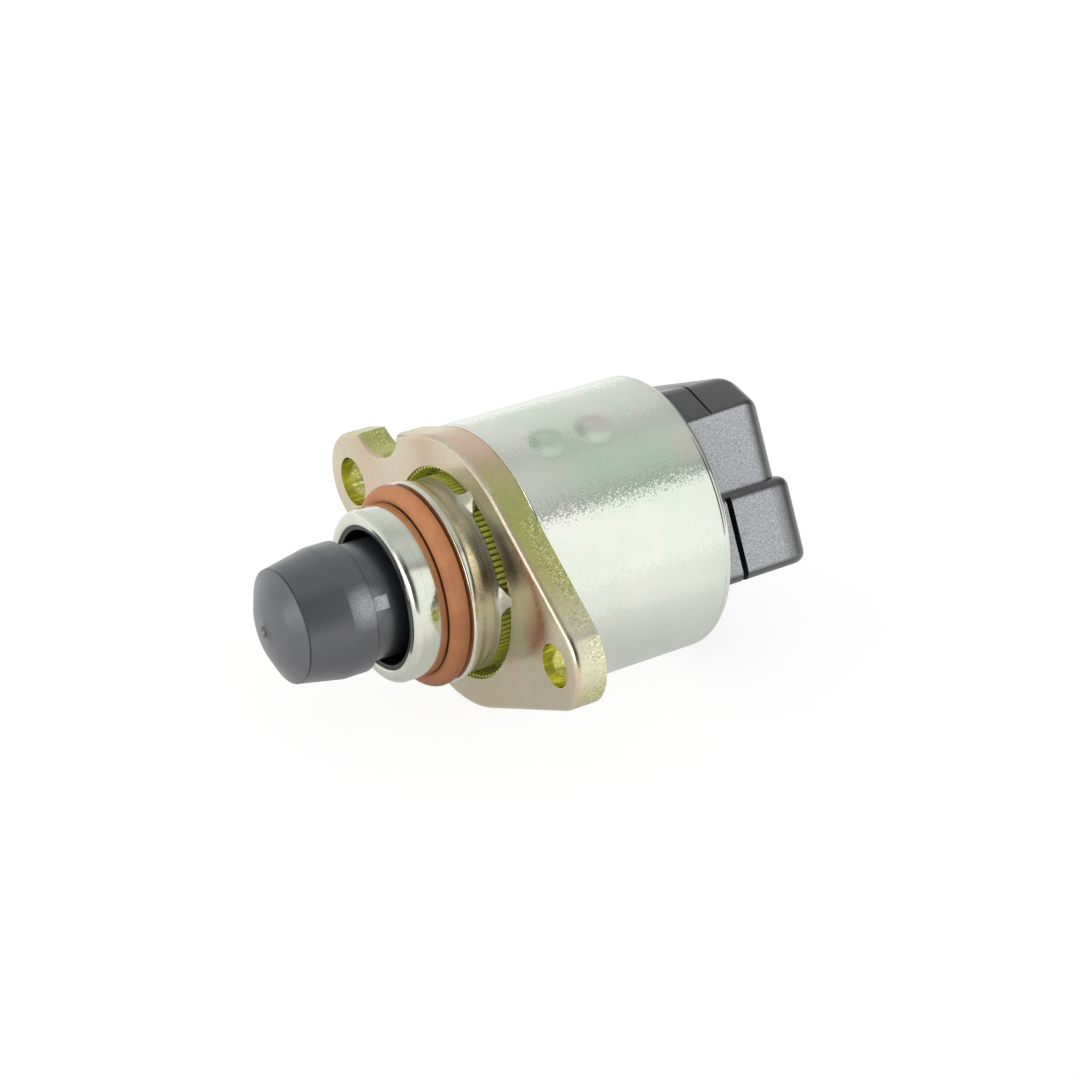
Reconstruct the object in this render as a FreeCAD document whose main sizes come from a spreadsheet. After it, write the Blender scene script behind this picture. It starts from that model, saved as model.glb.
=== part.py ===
import FreeCAD, Part
import math
import os
import Sketcher

# Idle air motor for a throttle body. Millimetres. The origin is the centre of the flange's mounting
# face, +X runs along the motor's axis out through the nose, +Y towards the ear with the small bolt hole.

doc = FreeCAD.newDocument("throttleBodyMotor")
sheet = doc.addObject("Spreadsheet::Sheet", "Sizes")

# Every driving size: name, value, what it measures.
sizes = [
    ("flangeThick", 4.0, "plate thickness"),
    ("flangeInset", 0.3, "outline between the ears inside the can's radius"),
    ("flangeEdgeR", 0.65, "rounding of the front edge"),
    ("flangeBoreR", 13.35, "central hole"),
    ("smallEarY", 21.4, "centre of the ear with the small hole"),
    ("smallEarR", 6.4, "its radius"),
    ("smallHoleOut", 1.5, "small bolt hole, outwards from its ear's centre"),
    ("smallHoleR", 2.65, "its radius"),
    ("wideEarY", 24.5, "centre of the ear with the wide hole, on the -Y side"),
    ("wideEarR", 6.3, "its radius"),
    ("wideHoleOut", 0.2, "wide bolt hole, outwards from its ear's centre"),
    ("wideHoleR", 3.15, "its radius"),
    ("notchIn", 4.1, "centre of the ear's notch, inwards from the ear's centre"),
    ("notchDrop", 4.3, "centre of the ear's notch below the outline's top"),
    ("notchR", 6.3, "notch radius"),
    ("noseFrontX", 11.2, "front of the nose tube"),
    ("noseR", 10.7, "nose tube outside"),
    ("noseWall", 1.75, "nose tube wall"),
    ("noseLipR", 1.4, "rounding of the nose's front edge"),
    ("grooveDeep", 0.6, "depth of the O-ring groove"),
    ("grooveFit", 0.1, "play of the O-ring along its groove"),
    ("ringWireR", 1.2, "O-ring wire"),
    ("shoulderX", 4.5, "front of the shoulder behind the O-ring"),
    ("shoulderThick", 1.0, "thickness of the shoulder at its rim"),
    ("shoulderStep", 0.55, "shoulder over the neck"),
    ("neckStep", 0.3, "neck below the staked collar"),
    ("collarX", 1.2, "front of the staked collar"),
    ("collarGap", 1.05, "gap around the collar in the flange's hole"),
    ("landLong", 1.2, "land that centres the flange"),
    ("landFit", 0.02, "radial fit of the land in the flange"),
    ("landStep", 1.83, "land over the spigot"),
    ("spigotFit", 0.05, "radial fit of the spigot in the can's end wall"),
    ("sleeveSeatX", -3.0, "step that the guide sleeve stands on"),
    ("seatLedge", 1.5, "width of the step behind the sleeve and the spring washer"),
    ("seatWall", 0.9, "web between the sleeve's step and the bearing seat"),
    ("bearingSeatR", 8.0, "bearing seat"),
    ("bearingInset", 0.2, "depth of the bearing's back face in its seat"),
    ("stakeOver", 0.95, "reach of each stake over the flange"),
    ("stakeTall", 0.9, "height of each stake over the flange"),
    ("stakeDeep", 0.3, "depth of each stake in its notch in the flange"),
    ("stakeArc", 8.0, "arc of each stake, degrees"),
    ("stakeNotch", 0.15, "play around each stake in its notch"),
    ("stakeFirst", 14.0, "turn of the first pair of stakes, degrees"),
    ("stakeSecond", 73.5, "turn of the second pair of stakes, degrees"),
    ("canR", 17.5, "can outside"),
    ("canWall", 1.0, "can wall"),
    ("canLong", 25.0, "can length behind the flange"),
    ("canFit", 0.1, "radial play of what stands in the can"),
    ("canCornerR", 0.9, "rounding of the can's corners"),
    ("lipReach", 1.6, "how far the can's back edge is rolled in"),
    ("lipWall", 0.8, "thickness of the rolled lip"),
    ("dentBallR", 6.0, "punch that makes the dents"),
    ("dentDepth", 0.4, "depth of a dent"),
    ("dentFrontX", -10.5, "front dent of each pair"),
    ("dentBackX", -17.0, "back dent of each pair"),
    ("dentTurn", 77.5, "turn of the first pair, degrees"),
    ("sleeveInset", 0.3, "sleeve's front edge behind the nose's"),
    ("sleeveWall", 0.55, "guide sleeve wall"),
    ("sleeveFloor", 1.8, "floor of the guide sleeve"),
    ("headFit", 0.3, "gap between the pintle's head and the sleeve"),
    ("headBackX", 14.6, "back edge of the pintle's head"),
    ("headBand", 3.1, "length of the head's round band"),
    ("coneLong", 5.65, "length of the pintle's cone"),
    ("coneDrop", 1.1, "fall of the cone's radius"),
    ("headEdge", 0.4, "bevel of the head's back edge"),
    ("bevelLong", 0.7, "bevel between cone and dome"),
    ("bevelDrop", 1.2, "fall of the bevel's radius"),
    ("domeTall", 1.55, "height of the pintle's domed end"),
    ("dimpleR", 0.9, "gate dimple in the tip"),
    ("dimpleDeep", 0.35, "its depth"),
    ("skirtStep", 0.9, "head over the skirt"),
    ("skirtWall", 1.4, "skirt wall"),
    ("skirtLong", 6.7, "length of the skirt behind the head"),
    ("skirtRoof", 1.4, "depth of the skirt's roof in front of the head's back edge"),
    ("bossR", 3.8, "boss around the screw's head"),
    ("bossLong", 5.7, "length of that boss behind the head's back edge"),
    ("lugTall", 0.55, "lug over the skirt"),
    ("lugLong", 1.95, "length of the lug"),
    ("lugArc", 13.0, "arc of the lug, degrees"),
    ("lugTurn", 30.6, "turn of the lug, degrees"),
    ("screwR", 2.5, "lead screw"),
    ("screwHold", 2.4, "screw's hold in the head, in front of its back edge"),
    ("screwLong", 33.5, "length of the screw"),
    ("screwFlat", 2.0, "flats of the screw's stem, from the axis"),
    ("flatInset", 0.4, "flats' front end behind the boss"),
    ("flatReach", 2.0, "flats' back end behind the sleeve's seat"),
    ("stemFit", 0.1, "play of the stem in its keyed hole"),
    ("flatFit", 0.05, "play of the flats in that hole"),
    ("threadFit", 0.05, "play of the screw in its nut"),
    ("stemClear", 0.4, "gap around the screw in the hub"),
    ("edgeBreak", 0.3, "broken edges of magnet, coils and nut"),
    ("washerRoom", 0.6, "room for the spring washer"),
    ("washerThick", 0.15, "thickness of the spring washer"),
    ("washerPlay", 0.1, "play around it in the bearing seat"),
    ("raceWide", 4.0, "width of the ball bearing"),
    ("raceGap", 0.7, "race faces from the circle of the balls"),
    ("cageHalf", 0.4, "half thickness of the ball cage"),
    ("cageReach", 0.8, "front of the cage's ring behind the balls' centres"),
    ("cageInset", 0.3, "back of the cage inside the races"),
    ("journalR", 4.0, "rotor's front journal"),
    ("ballR", 1.05, "bearing balls"),
    ("ballFit", 0.05, "play of the balls in their grooves"),
    ("hubRatio", 0.62921, "hub radius over magnet radius"),
    ("hubStep", 0.2, "hub's neck below the inner race"),
    ("hubInset", 0.1, "hub's front face inside the inner race"),
    ("hubProud", 0.2, "hub's back shoulder behind the magnet"),
    ("hubEnd", 0.9, "web between the screw's bore and the back shoulder"),
    ("tailR", 2.5, "rotor's back journal"),
    ("tailInset", 0.4, "end of the back journal inside its bush"),
    ("splitRatio", 0.5427, "rotor radius over stator radius"),
    ("magnetInset", 0.5, "magnet's ends inside the stator's"),
    ("nutR", 3.6, "drive nut outside"),
    ("nutInset", 1.8, "nut's front behind the stator's"),
    ("nutLong", 8.0, "length of the nut"),
    ("plateThick", 0.8, "pole plates"),
    ("airGap", 0.4, "gap between magnet and claws"),
    ("cupWall", 0.8, "rim of the stator cups"),
    ("clawRoot", 5.0, "width of a claw at its root"),
    ("clawTip", 2.4, "width of a claw at its tip"),
    ("clawGap", 0.6, "gap between a claw's tip and the facing plate"),
    ("stackTurn", 15.0, "turn between the two stacks, degrees"),
    ("bobbinFit", 0.5, "gap between claws and bobbin"),
    ("bobbinWall", 0.6, "bobbin core and cheeks"),
    ("cheekFit", 0.1, "gap between the cheeks and the cup's rim"),
    ("coilDeep", 0.3, "windings below the cheeks' edge"),
    ("stackPlay", 0.3, "gap between the stator and the cover's plug"),
    ("plugThick", 1.3, "rim of the cover's plug"),
    ("sealThick", 0.3, "flat seal"),
    ("coverFit", 0.05, "radial play of the cover in the rolled lip"),
    ("coverProud", 0.2, "face of the cover behind the can"),
    ("bushR", 4.5, "back bush outside"),
    ("bushLong", 4.6, "length of the bush"),
    ("bushFit", 0.05, "play of the back journal in its bush"),
    ("bushRoom", 0.2, "room behind the bush"),
    ("coverTurn", 29.5, "turn of the cover about the axis, degrees"),
    ("upperInset", 1.1, "sides of the cover's upper block inside the shroud's"),
    ("upperTopInset", 2.1, "top of the upper block inside the plug's radius"),
    ("upperSideInset", 5.8, "top of its side faces inside that radius"),
    ("upperChamfer", 5.4, "half width of its top less than the block's"),
    ("upperLong", 10.7, "length of the upper block"),
    ("upperEdgeR", 1.5, "rounding of its back edges"),
    ("stepZ", 1.1, "level where the shroud begins"),
    ("shroudInset", 2.7, "sides of the shroud inside the plug's radius"),
    ("shroudMouth", 9.75, "mouth of the shroud, below the axis"),
    ("shroudBehind", 1.6, "back of the shroud behind the upper block's"),
    ("shroudEdgeR", 2.4, "rounding of its back edges"),
    ("shroudTopR", 1.0, "rounding of its top edges and rim"),
    ("socketNeck", 4.7, "cover's face to the socket's front wall"),
    ("socketBack", 1.2, "thickness of the socket's back wall"),
    ("socketSide", 1.8, "thickness of its side walls"),
    ("socketFloor", 0.3, "floor of the socket, below the axis"),
    ("slotNeck", 2.6, "cover's face to the side slots"),
    ("slotWide", 0.85, "width of the side slots"),
    ("slotTop", 0.4, "top of the side slots, below the axis"),
    ("slotDeep", 4.5, "depth of the side slots"),
    ("pinPitch", 5.0, "spacing of the terminal pins"),
    ("pinWide", 1.5, "pin width"),
    ("pinThick", 0.8, "pin thickness"),
    ("pinLegZ", 10.4, "level of the pins' inner legs"),
    ("pinRecess", 2.15, "tips of the pins inside the shroud's mouth"),
]
for row, (alias, value, meaning) in enumerate(sizes, 1):
    sheet.set("A%d" % row, alias)
    sheet.set("B%d" % row, str(value))
    sheet.set("C%d" % row, meaning)
    sheet.setAlias("B%d" % row, alias)
doc.recompute()


# A number together with the sheet expression that drives it.
class Size:
    def __init__(self, value, text):
        self.value, self.text = value, text

    def join(self, other, sign, result):
        return Size(result, "(%s %s %s)" % (self.text, sign, size(other).text))

    def __add__(self, other):
        return self.join(other, "+", self.value + size(other).value)

    def __sub__(self, other):
        return self.join(other, "-", self.value - size(other).value)

    def __mul__(self, other):
        return self.join(other, "*", self.value * size(other).value)

    def __truediv__(self, other):
        return self.join(other, "/", self.value / size(other).value)

    def __neg__(self):
        return Size(-self.value, "(0 - %s)" % self.text)


def size(thing):
    return thing if isinstance(thing, Size) else Size(float(thing), repr(float(thing)))


# The other short side of a right triangle with hypotenuse a.
def leg(a, b):
    return Size(math.sqrt(a.value ** 2 - b.value ** 2), "sqrt(%s ^ 2 - %s ^ 2)" % (a.text, b.text))


# A rounding, limited by the wall that carries it.
def within(radius, wall):
    return Size(min(radius.value, wall.value), "min(%s; %s)" % (radius.text, wall.text))


# The sheet's cells by name.
class Sheet:
    def __getattr__(self, alias):
        return Size(float(sheet.get(alias)), "Sizes." + alias)


s = Sheet()


def bind(thing, path, amount):
    thing.setExpression(path, size(amount).text)


def newBody(name):
    body = doc.addObject("PartDesign::Body", name + "Body")
    body.Label = name
    return body


def plane(body, role):
    return next(f for f in body.Origin.OriginFeatures if f.Role == role)


# A sketch on one of the body's own planes, turned about its own x axis or lifted off the plane.
def newSketch(body, name, role="XY_Plane", turn=None, lift=None):
    sketch = body.newObject("Sketcher::SketchObject", name)
    sketch.AttachmentSupport = [(plane(body, role), "")]
    sketch.MapMode = "FlatFace"
    if turn is not None:
        turn = size(turn)
        sketch.AttachmentOffset = FreeCAD.Placement(
            FreeCAD.Vector(), FreeCAD.Rotation(FreeCAD.Vector(1, 0, 0), turn.value))
        sketch.setExpression("AttachmentOffset.Rotation.Angle", turn.text + " * 1 deg")
    if lift is not None:
        bind(sketch, "AttachmentOffset.Base.z", lift)
    return sketch


# A dimension: its last argument is a Size, bound to the sheet.
def hold(sketch, kind, *where):
    amount = size(where[-1])
    index = sketch.addConstraint(Sketcher.Constraint(kind, *where[:-1], amount.value))
    if "Sizes." in amount.text:
        sketch.setExpression("Constraints[%d]" % index, amount.text)


# Puts one point of a sketch at a pair of sizes from the sketch's origin.
def place(sketch, geometry, end, across, up):
    for kind, axis, amount in (("DistanceX", -2, size(across)), ("DistanceY", -1, size(up))):
        if amount.text == "0.0":
            sketch.addConstraint(Sketcher.Constraint("PointOnObject", geometry, end, axis))
        else:
            hold(sketch, kind, -1, 1, geometry, end, amount)


# A closed outline. A corner is (x, y), or (x, y, radius, centre x, centre y) where the edge that
# leaves it is an arc about that centre, anticlockwise for a positive radius.
def outline(sketch, corners):
    first = sketch.GeometryCount
    corners = [tuple(size(v) for v in c) for c in corners]
    for i, corner in enumerate(corners):
        here, there = corner, corners[(i + 1) % len(corners)]
        a = FreeCAD.Vector(here[0].value, here[1].value, 0)
        b = FreeCAD.Vector(there[0].value, there[1].value, 0)
        if len(corner) == 2:
            sketch.addGeometry(Part.LineSegment(a, b))
            continue
        centre = FreeCAD.Vector(corner[3].value, corner[4].value, 0)
        start, stop = (a, b) if corner[2].value > 0 else (b, a)
        angles = [math.atan2(p.y - centre.y, p.x - centre.x) for p in (start, stop)]
        circle = Part.Circle(centre, FreeCAD.Vector(0, 0, 1), abs(corner[2].value))
        sketch.addGeometry(Part.ArcOfCircle(circle, *angles))
    count = len(corners)
    ends = [(1, 2) if len(c) == 2 or c[2].value > 0 else (2, 1) for c in corners]
    for i in range(count):
        following = (i + 1) % count
        sketch.addConstraint(Sketcher.Constraint(
            "Coincident", first + i, ends[i][1], first + following, ends[following][0]))
    for i, corner in enumerate(corners):
        place(sketch, first + i, ends[i][0], corner[0], corner[1])
        if len(corner) > 2:
            radius = corner[2] if corner[2].value > 0 else -corner[2]
            hold(sketch, "Radius", first + i, radius)


def circleAt(sketch, across, up, radius):
    across, up, radius = size(across), size(up), size(radius)
    index = sketch.addGeometry(Part.Circle(
        FreeCAD.Vector(across.value, up.value, 0), FreeCAD.Vector(0, 0, 1), radius.value))
    place(sketch, index, 3, across, up)
    hold(sketch, "Radius", index, radius)


# Turns an outline of (x, radius) corners about the axis; with an arc, a sector about its turn.
def spin(body, name, corners, kind="PartDesign::Revolution", arc=None, turn=None):
    sketch = newSketch(body, name + "Sketch", turn=turn)
    outline(sketch, corners)
    feature = body.newObject(kind, name)
    feature.Profile = sketch
    feature.ReferenceAxis = (sketch, ["H_Axis"])
    feature.Angle = 360 if arc is None else size(arc).value
    if arc is not None:
        feature.Midplane = True
        feature.setExpression("Angle", size(arc).text + " * 1 deg")
    sketch.Visibility = False
    return feature


def turned(name, corners):
    body = newBody(name)
    spin(body, name + "Turn", corners)
    return body


def extrude(body, name, role, draw, length, kind="PartDesign::Pad", lift=None, backwards=False, both=False):
    sketch = newSketch(body, name + "Sketch", role, lift=lift)
    draw(sketch)
    feature = body.newObject(kind, name)
    feature.Profile = sketch
    feature.Length = size(length).value
    bind(feature, "Length", length)
    feature.Reversed = backwards
    feature.Midplane = both
    sketch.Visibility = False
    return feature


# Repeats a feature evenly round the axis.
def around(body, name, feature, count):
    pattern = body.newObject("PartDesign::PolarPattern", name)
    pattern.Originals = [feature]
    pattern.Axis = (plane(body, "X_Axis"), [""])
    pattern.Angle = 360
    pattern.Occurrences = count
    body.Tip = pattern
    return pattern


# Rounds or bevels the edges of the body's latest feature that pass a test.
def dress(body, name, kind, test, amount):
    doc.recompute()
    base = body.Tip
    edges = ["Edge%d" % (i + 1) for i, e in enumerate(base.Shape.Edges) if test(e)]
    if not edges:
        raise RuntimeError(name + ": no edges found")
    feature = body.newObject("PartDesign::" + kind, name)
    feature.Base = (base, edges)
    path = "Radius" if kind == "Fillet" else "Size"
    setattr(feature, path, size(amount).value)
    bind(feature, path, amount)
    return feature


# Picks round edges about the axis at a station and radius.
def ringEdge(x, radius):
    def test(edge):
        curve = edge.Curve
        return (isinstance(curve, Part.Circle) and abs(curve.Radius - size(radius).value) < 0.01
                and abs(edge.BoundBox.XMax - size(x).value) < 0.01
                and edge.BoundBox.XLength < 0.01)
    return test


# Picks edges that lie wholly at a station or a level.
def flatAt(edge, x=None, z=None):
    box = edge.BoundBox
    return ((x is None or abs(box.XMin - x.value) + abs(box.XMax - x.value) < 0.002)
            and (z is None or abs(box.ZMin - z.value) + abs(box.ZMax - z.value) < 0.002))


# Turns a body about the axis by an angle from the sheet.
def turnBody(body, turn):
    turn = size(turn)
    body.Placement = FreeCAD.Placement(
        FreeCAD.Vector(), FreeCAD.Rotation(FreeCAD.Vector(1, 0, 0), turn.value))
    body.setExpression("Placement.Rotation.Angle", turn.text + " * 1 deg")


parts = {}

# Stations along the axis, from the flange backwards.
flangeBackX = -s.flangeThick
landX = flangeBackX + s.landLong
canFaceX = flangeBackX - s.canWall
canBackX = flangeBackX - s.canLong
bearingWallX = s.sleeveSeatX - s.seatWall
raceFrontX = bearingWallX - s.washerRoom
raceBackX = raceFrontX - s.raceWide
noseBackX = raceBackX - s.bearingInset
lipFrontX = canBackX + s.lipWall
sealFrontX = lipFrontX + s.sealThick
plugFrontX = sealFrontX + s.plugThick
stackFrontX = noseBackX
stackBackX = plugFrontX + s.stackPlay
stackLong = (stackFrontX - stackBackX) / 2
magnetFrontX = stackFrontX - s.magnetInset
magnetBackX = stackBackX + s.magnetInset
hubBackX = magnetBackX - s.hubProud
nutFrontX = stackFrontX - s.nutInset
nutBackX = nutFrontX - s.nutLong
bushBackX = plugFrontX - s.bushLong
coverX = canBackX - s.coverProud

# Radii that follow from what they fit.
flangeArcR = s.canR - s.flangeInset
seatStepR = s.bearingSeatR - s.seatLedge
landR = s.flangeBoreR - s.landFit
collarR = s.flangeBoreR - s.collarGap
neckR = collarR - s.neckStep
shoulderR = neckR + s.shoulderStep
spigotR = landR - s.landStep
noseBoreR = s.noseR - s.noseWall
grooveR = s.noseR - s.grooveDeep
canBoreR = s.canR - s.canWall
plugR = canBoreR - s.canFit
canLipR = s.canR - s.lipReach
sleeveR = noseBoreR - s.sleeveWall
headR = sleeveR - s.headFit
skirtR = headR - s.skirtStep
ballPitchR = (s.journalR + s.bearingSeatR) / 2
innerRaceR = ballPitchR - s.raceGap
magnetR = plugR * s.splitRatio
hubR = magnetR * s.hubRatio
poleR = magnetR + s.airGap
poleBackR = poleR + s.plateThick

# Flange: a thick plate with two unequal ears, a round notch in the wide ear's upper edge and, around
# its central hole, a shallow notch for each stake.
stakePairs = (("First", s.stakeFirst), ("Second", s.stakeSecond))
flange = newBody("mounting_flange")


def drawFlange(sketch):
    ears = ((s.smallEarY, s.smallEarR, 1), (s.wideEarY, s.wideEarR, -1))
    leans = [math.asin((flangeArcR.value - r.value) / y.value) for y, r, side in ears]
    up = [math.pi / 2 - leans[0], math.pi / 2 + leans[1]]
    arcR, near, far = flangeArcR.value, s.smallEarY.value, -s.wideEarY.value

    def arc(x, radius, start, stop):
        circle = Part.Circle(FreeCAD.Vector(x, 0, 0), FreeCAD.Vector(0, 0, 1), radius)
        sketch.addGeometry(Part.ArcOfCircle(circle, start, stop))

    def side(x, radius, toX, toRadius, angle):
        ends = [FreeCAD.Vector(c + r * math.cos(angle), r * math.sin(angle), 0)
                for c, r in ((x, radius), (toX, toRadius))]
        sketch.addGeometry(Part.LineSegment(*ends))

    arc(near, s.smallEarR.value, -up[0], up[0])
    side(near, s.smallEarR.value, 0, arcR, up[0])
    arc(0, arcR, up[0], up[1])
    side(0, arcR, far, s.wideEarR.value, up[1])
    arc(far, s.wideEarR.value, up[1], 2 * math.pi - up[1])
    side(far, s.wideEarR.value, 0, arcR, -up[1])
    arc(0, arcR, -up[1], -up[0])
    side(0, arcR, near, s.smallEarR.value, -up[0])
    for i in range(8):
        sketch.addConstraint(Sketcher.Constraint("Tangent", i, 2, (i + 1) % 8, 1))
    for i in (2, 6):
        sketch.addConstraint(Sketcher.Constraint("Coincident", i, 3, -1, 1))
        hold(sketch, "Radius", i, flangeArcR)
    for i, (y, r, sign) in ((0, ears[0]), (4, ears[1])):
        sketch.addConstraint(Sketcher.Constraint("PointOnObject", i, 3, -1))
        hold(sketch, "DistanceX", -1, 1, i, 3, y if sign > 0 else -y)
        hold(sketch, "Radius", i, r)
    circleAt(sketch, 0, 0, s.flangeBoreR)
    circleAt(sketch, s.smallEarY + s.smallHoleOut, 0, s.smallHoleR)
    circleAt(sketch, -(s.wideEarY + s.wideHoleOut), 0, s.wideHoleR)


def onOutline(edge):
    holes = (s.flangeBoreR, s.smallHoleR, s.wideHoleR)
    return flatAt(edge, x=size(0)) and not (
        isinstance(edge.Curve, Part.Circle)
        and min(abs(edge.Curve.Radius - r.value) for r in holes) < 0.01)


extrude(flange, "FlangePlate", "YZ_Plane", drawFlange, s.flangeThick, backwards=True)
extrude(flange, "EarNotch", "YZ_Plane",
        lambda k: circleAt(k, s.notchIn - s.wideEarY, flangeArcR - s.notchDrop, s.notchR),
        s.flangeThick * 1.5, kind="PartDesign::Pocket")
dress(flange, "FlangeEdge", "Fillet", onOutline, s.flangeEdgeR)
stakeR = s.flangeBoreR + s.stakeOver
notchR = stakeR + s.stakeNotch
for pair, turn in stakePairs:
    notch = spin(flange, "Notch" + pair, [
        (-s.stakeDeep, collarR), (0.5, collarR), (0.5, notchR), (-s.stakeDeep, notchR)],
        kind="PartDesign::Groove", arc=s.stakeArc + s.stakeNotch * 8, turn=turn)
    around(flange, "Notches" + pair, notch, 2)
parts["mounting_flange"] = flange

# Nose tube: O-ring groove, shoulder and neck in front of the flange, a staked collar through it, and
# behind it a spigot that carries the ball bearing.
grooveFrontX = s.shoulderX + s.ringWireR * 2 + s.grooveFit
shoulderBackX = s.shoulderX - s.shoulderThick
nose = turned("nose_tube", [
    (s.noseFrontX, noseBoreR), (s.noseFrontX, s.noseR), (grooveFrontX, s.noseR),
    (grooveFrontX, grooveR), (s.shoulderX, grooveR), (s.shoulderX, shoulderR),
    (shoulderBackX, shoulderR), (shoulderBackX - s.shoulderStep, neckR), (s.collarX, neckR),
    (s.collarX, collarR), (landX, collarR), (landX, landR), (flangeBackX, landR),
    (flangeBackX, spigotR), (noseBackX, spigotR), (noseBackX, s.bearingSeatR),
    (bearingWallX, s.bearingSeatR), (bearingWallX, seatStepR), (s.sleeveSeatX, seatStepR),
    (s.sleeveSeatX, noseBoreR)])
for pair, turn in stakePairs:
    stake = spin(nose, "Stake" + pair, [
        (-s.stakeDeep, neckR), (s.collarX + 0.3, neckR), (s.stakeTall, collarR + 0.5),
        (0.2, stakeR), (-s.stakeDeep, stakeR)], arc=s.stakeArc, turn=turn)
    around(nose, "Stakes" + pair, stake, 2)
dress(nose, "NoseLip", "Fillet", ringEdge(s.noseFrontX, s.noseR), within(s.noseLipR, s.noseWall * 0.8))
dress(nose, "NoseMouth", "Fillet", ringEdge(s.noseFrontX, noseBoreR), s.noseWall * 0.14)
parts["nose_tube"] = nose

# O-ring that seals the nose in its bore.
ringX, ringR = (s.shoulderX + grooveFrontX) / 2, grooveR + s.ringWireR
ring = doc.addObject("Part::Torus", "MountingRing")
ring.Label = "mounting_o_ring"
ring.Placement = FreeCAD.Placement(
    FreeCAD.Vector(ringX.value, 0, 0), FreeCAD.Rotation(FreeCAD.Vector(0, 1, 0), 90))
for path, amount in (("Radius1", ringR), ("Radius2", s.ringWireR), ("Placement.Base.x", ringX)):
    bind(ring, path, amount)
parts["mounting_o_ring"] = ring

# Can: deep drawn, closed in front behind the flange, its back edge rolled in over the cover.
canShell = turned("canShell", [
    (flangeBackX, spigotR + s.spigotFit), (flangeBackX, s.canR), (canBackX, s.canR),
    (canBackX, canLipR), (lipFrontX, canLipR), (lipFrontX, canBoreR),
    (canFaceX, canBoreR), (canFaceX, spigotR + s.spigotFit)])
for name, x in (("CanFrontCorner", flangeBackX), ("CanBackCorner", canBackX)):
    dress(canShell, name, "Fillet", ringEdge(x, s.canR), s.canCornerR)

# Three pairs of round dents lock the stator stacks in the can.
punches = []
for row in range(3):
    for end, x in (("Front", s.dentFrontX), ("Back", s.dentBackX)):
        punch = doc.addObject("Part::Sphere", "Punch%s%d" % (end, row + 1))
        bind(punch, "Radius", s.dentBallR)
        reach = s.canR + s.dentBallR - s.dentDepth
        turn = "(%s + %d)" % (s.dentTurn.text, 120 * row)
        bind(punch, "Placement.Base.x", x)
        punch.setExpression("Placement.Base.y", "%s * cos(%s * 1 deg)" % (reach.text, turn))
        punch.setExpression("Placement.Base.z", "%s * sin(%s * 1 deg)" % (reach.text, turn))
        punches.append(punch)
punchSet = doc.addObject("Part::MultiFuse", "PunchSet")
punchSet.Shapes = punches
can = doc.addObject("Part::Cut", "CanWithDents")
can.Base, can.Tool = canShell, punchSet
can.Label = "can_housing"
parts["can_housing"] = can

# Guide sleeve: black liner of the nose bore; the keyed hole in its floor stops the screw turning.
sleeveFrontX, floorX = s.noseFrontX - s.sleeveInset, s.sleeveSeatX + s.sleeveFloor
sleeve = turned("guide_sleeve", [
    (sleeveFrontX, sleeveR), (sleeveFrontX, noseBoreR), (s.sleeveSeatX, noseBoreR),
    (s.sleeveSeatX, 0), (floorX, 0), (floorX, sleeveR)])


def drawKeyed(sketch):
    radius, flat = s.screwR + s.stemFit, s.screwFlat + s.flatFit
    chord = leg(radius, flat)
    outline(sketch, [(-chord, -flat), (chord, -flat, radius, 0, 0), (chord, flat), (-chord, flat, radius, 0, 0)])


extrude(sleeve, "KeyedHole", "YZ_Plane", drawKeyed, -s.sleeveSeatX * 4, kind="PartDesign::Pocket", both=True)
parts["guide_sleeve"] = sleeve

# Pintle: domed and coned head, a hollow skirt behind it with two square lugs, a boss on the screw.
coneBackX = s.headBackX + s.headBand
coneFrontX = coneBackX + s.coneLong
domeEdgeX = coneFrontX + s.bevelLong
tipX = domeEdgeX + s.domeTall
coneFrontR = headR - s.coneDrop
domeEdgeR = coneFrontR - s.bevelDrop
domeR = (domeEdgeR * domeEdgeR + s.domeTall * s.domeTall) / (s.domeTall * 2)
skirtBackX = s.headBackX - s.skirtLong
skirtBoreR = skirtR - s.skirtWall
bossBackX = s.headBackX - s.bossLong
roofX = s.headBackX - s.skirtRoof
screwFrontX = s.headBackX + s.screwHold
pintle = turned("pintle", [
    (tipX - s.dimpleDeep, 0), (tipX - s.dimpleDeep, s.dimpleR * 0.7),
    (tipX - domeR + leg(domeR, s.dimpleR), s.dimpleR, domeR, tipX - domeR, 0),
    (domeEdgeX, domeEdgeR), (coneFrontX, coneFrontR), (coneBackX, headR),
    (s.headBackX + s.headEdge, headR), (s.headBackX, headR - s.headEdge), (s.headBackX, skirtR),
    (skirtBackX, skirtR), (skirtBackX, skirtBoreR), (roofX, skirtBoreR), (roofX, s.bossR),
    (bossBackX, s.bossR), (bossBackX, s.screwR), (screwFrontX, s.screwR), (screwFrontX, 0)])
lug = spin(pintle, "SkirtLug", [
    (s.headBackX - s.lugLong, skirtR - 0.3), (s.headBackX - s.lugLong, skirtR + s.lugTall),
    (s.headBackX, skirtR + s.lugTall), (s.headBackX, skirtR - 0.3)], arc=s.lugArc, turn=s.lugTurn)
around(pintle, "SkirtLugs", lug, 2)
parts["pintle"] = pintle

# Lead screw: round threaded back half, a stem with two flats in front, its head moulded into the pintle.
screwBackX = screwFrontX - s.screwLong
flatFrontX, flatBackX = bossBackX - s.flatInset, s.sleeveSeatX - s.flatReach
screw = turned("lead_screw", [
    (screwBackX, 0), (screwBackX, s.screwR * 0.8), (screwBackX + s.screwR * 0.2, s.screwR),
    (screwFrontX, s.screwR), (screwFrontX, 0)])


def drawFlats(sketch):
    for low, high in ((s.screwFlat, s.screwR * 1.2), (-s.screwR * 1.2, -s.screwFlat)):
        outline(sketch, [(flatBackX, low), (flatFrontX, low), (flatFrontX, high), (flatBackX, high)])


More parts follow.
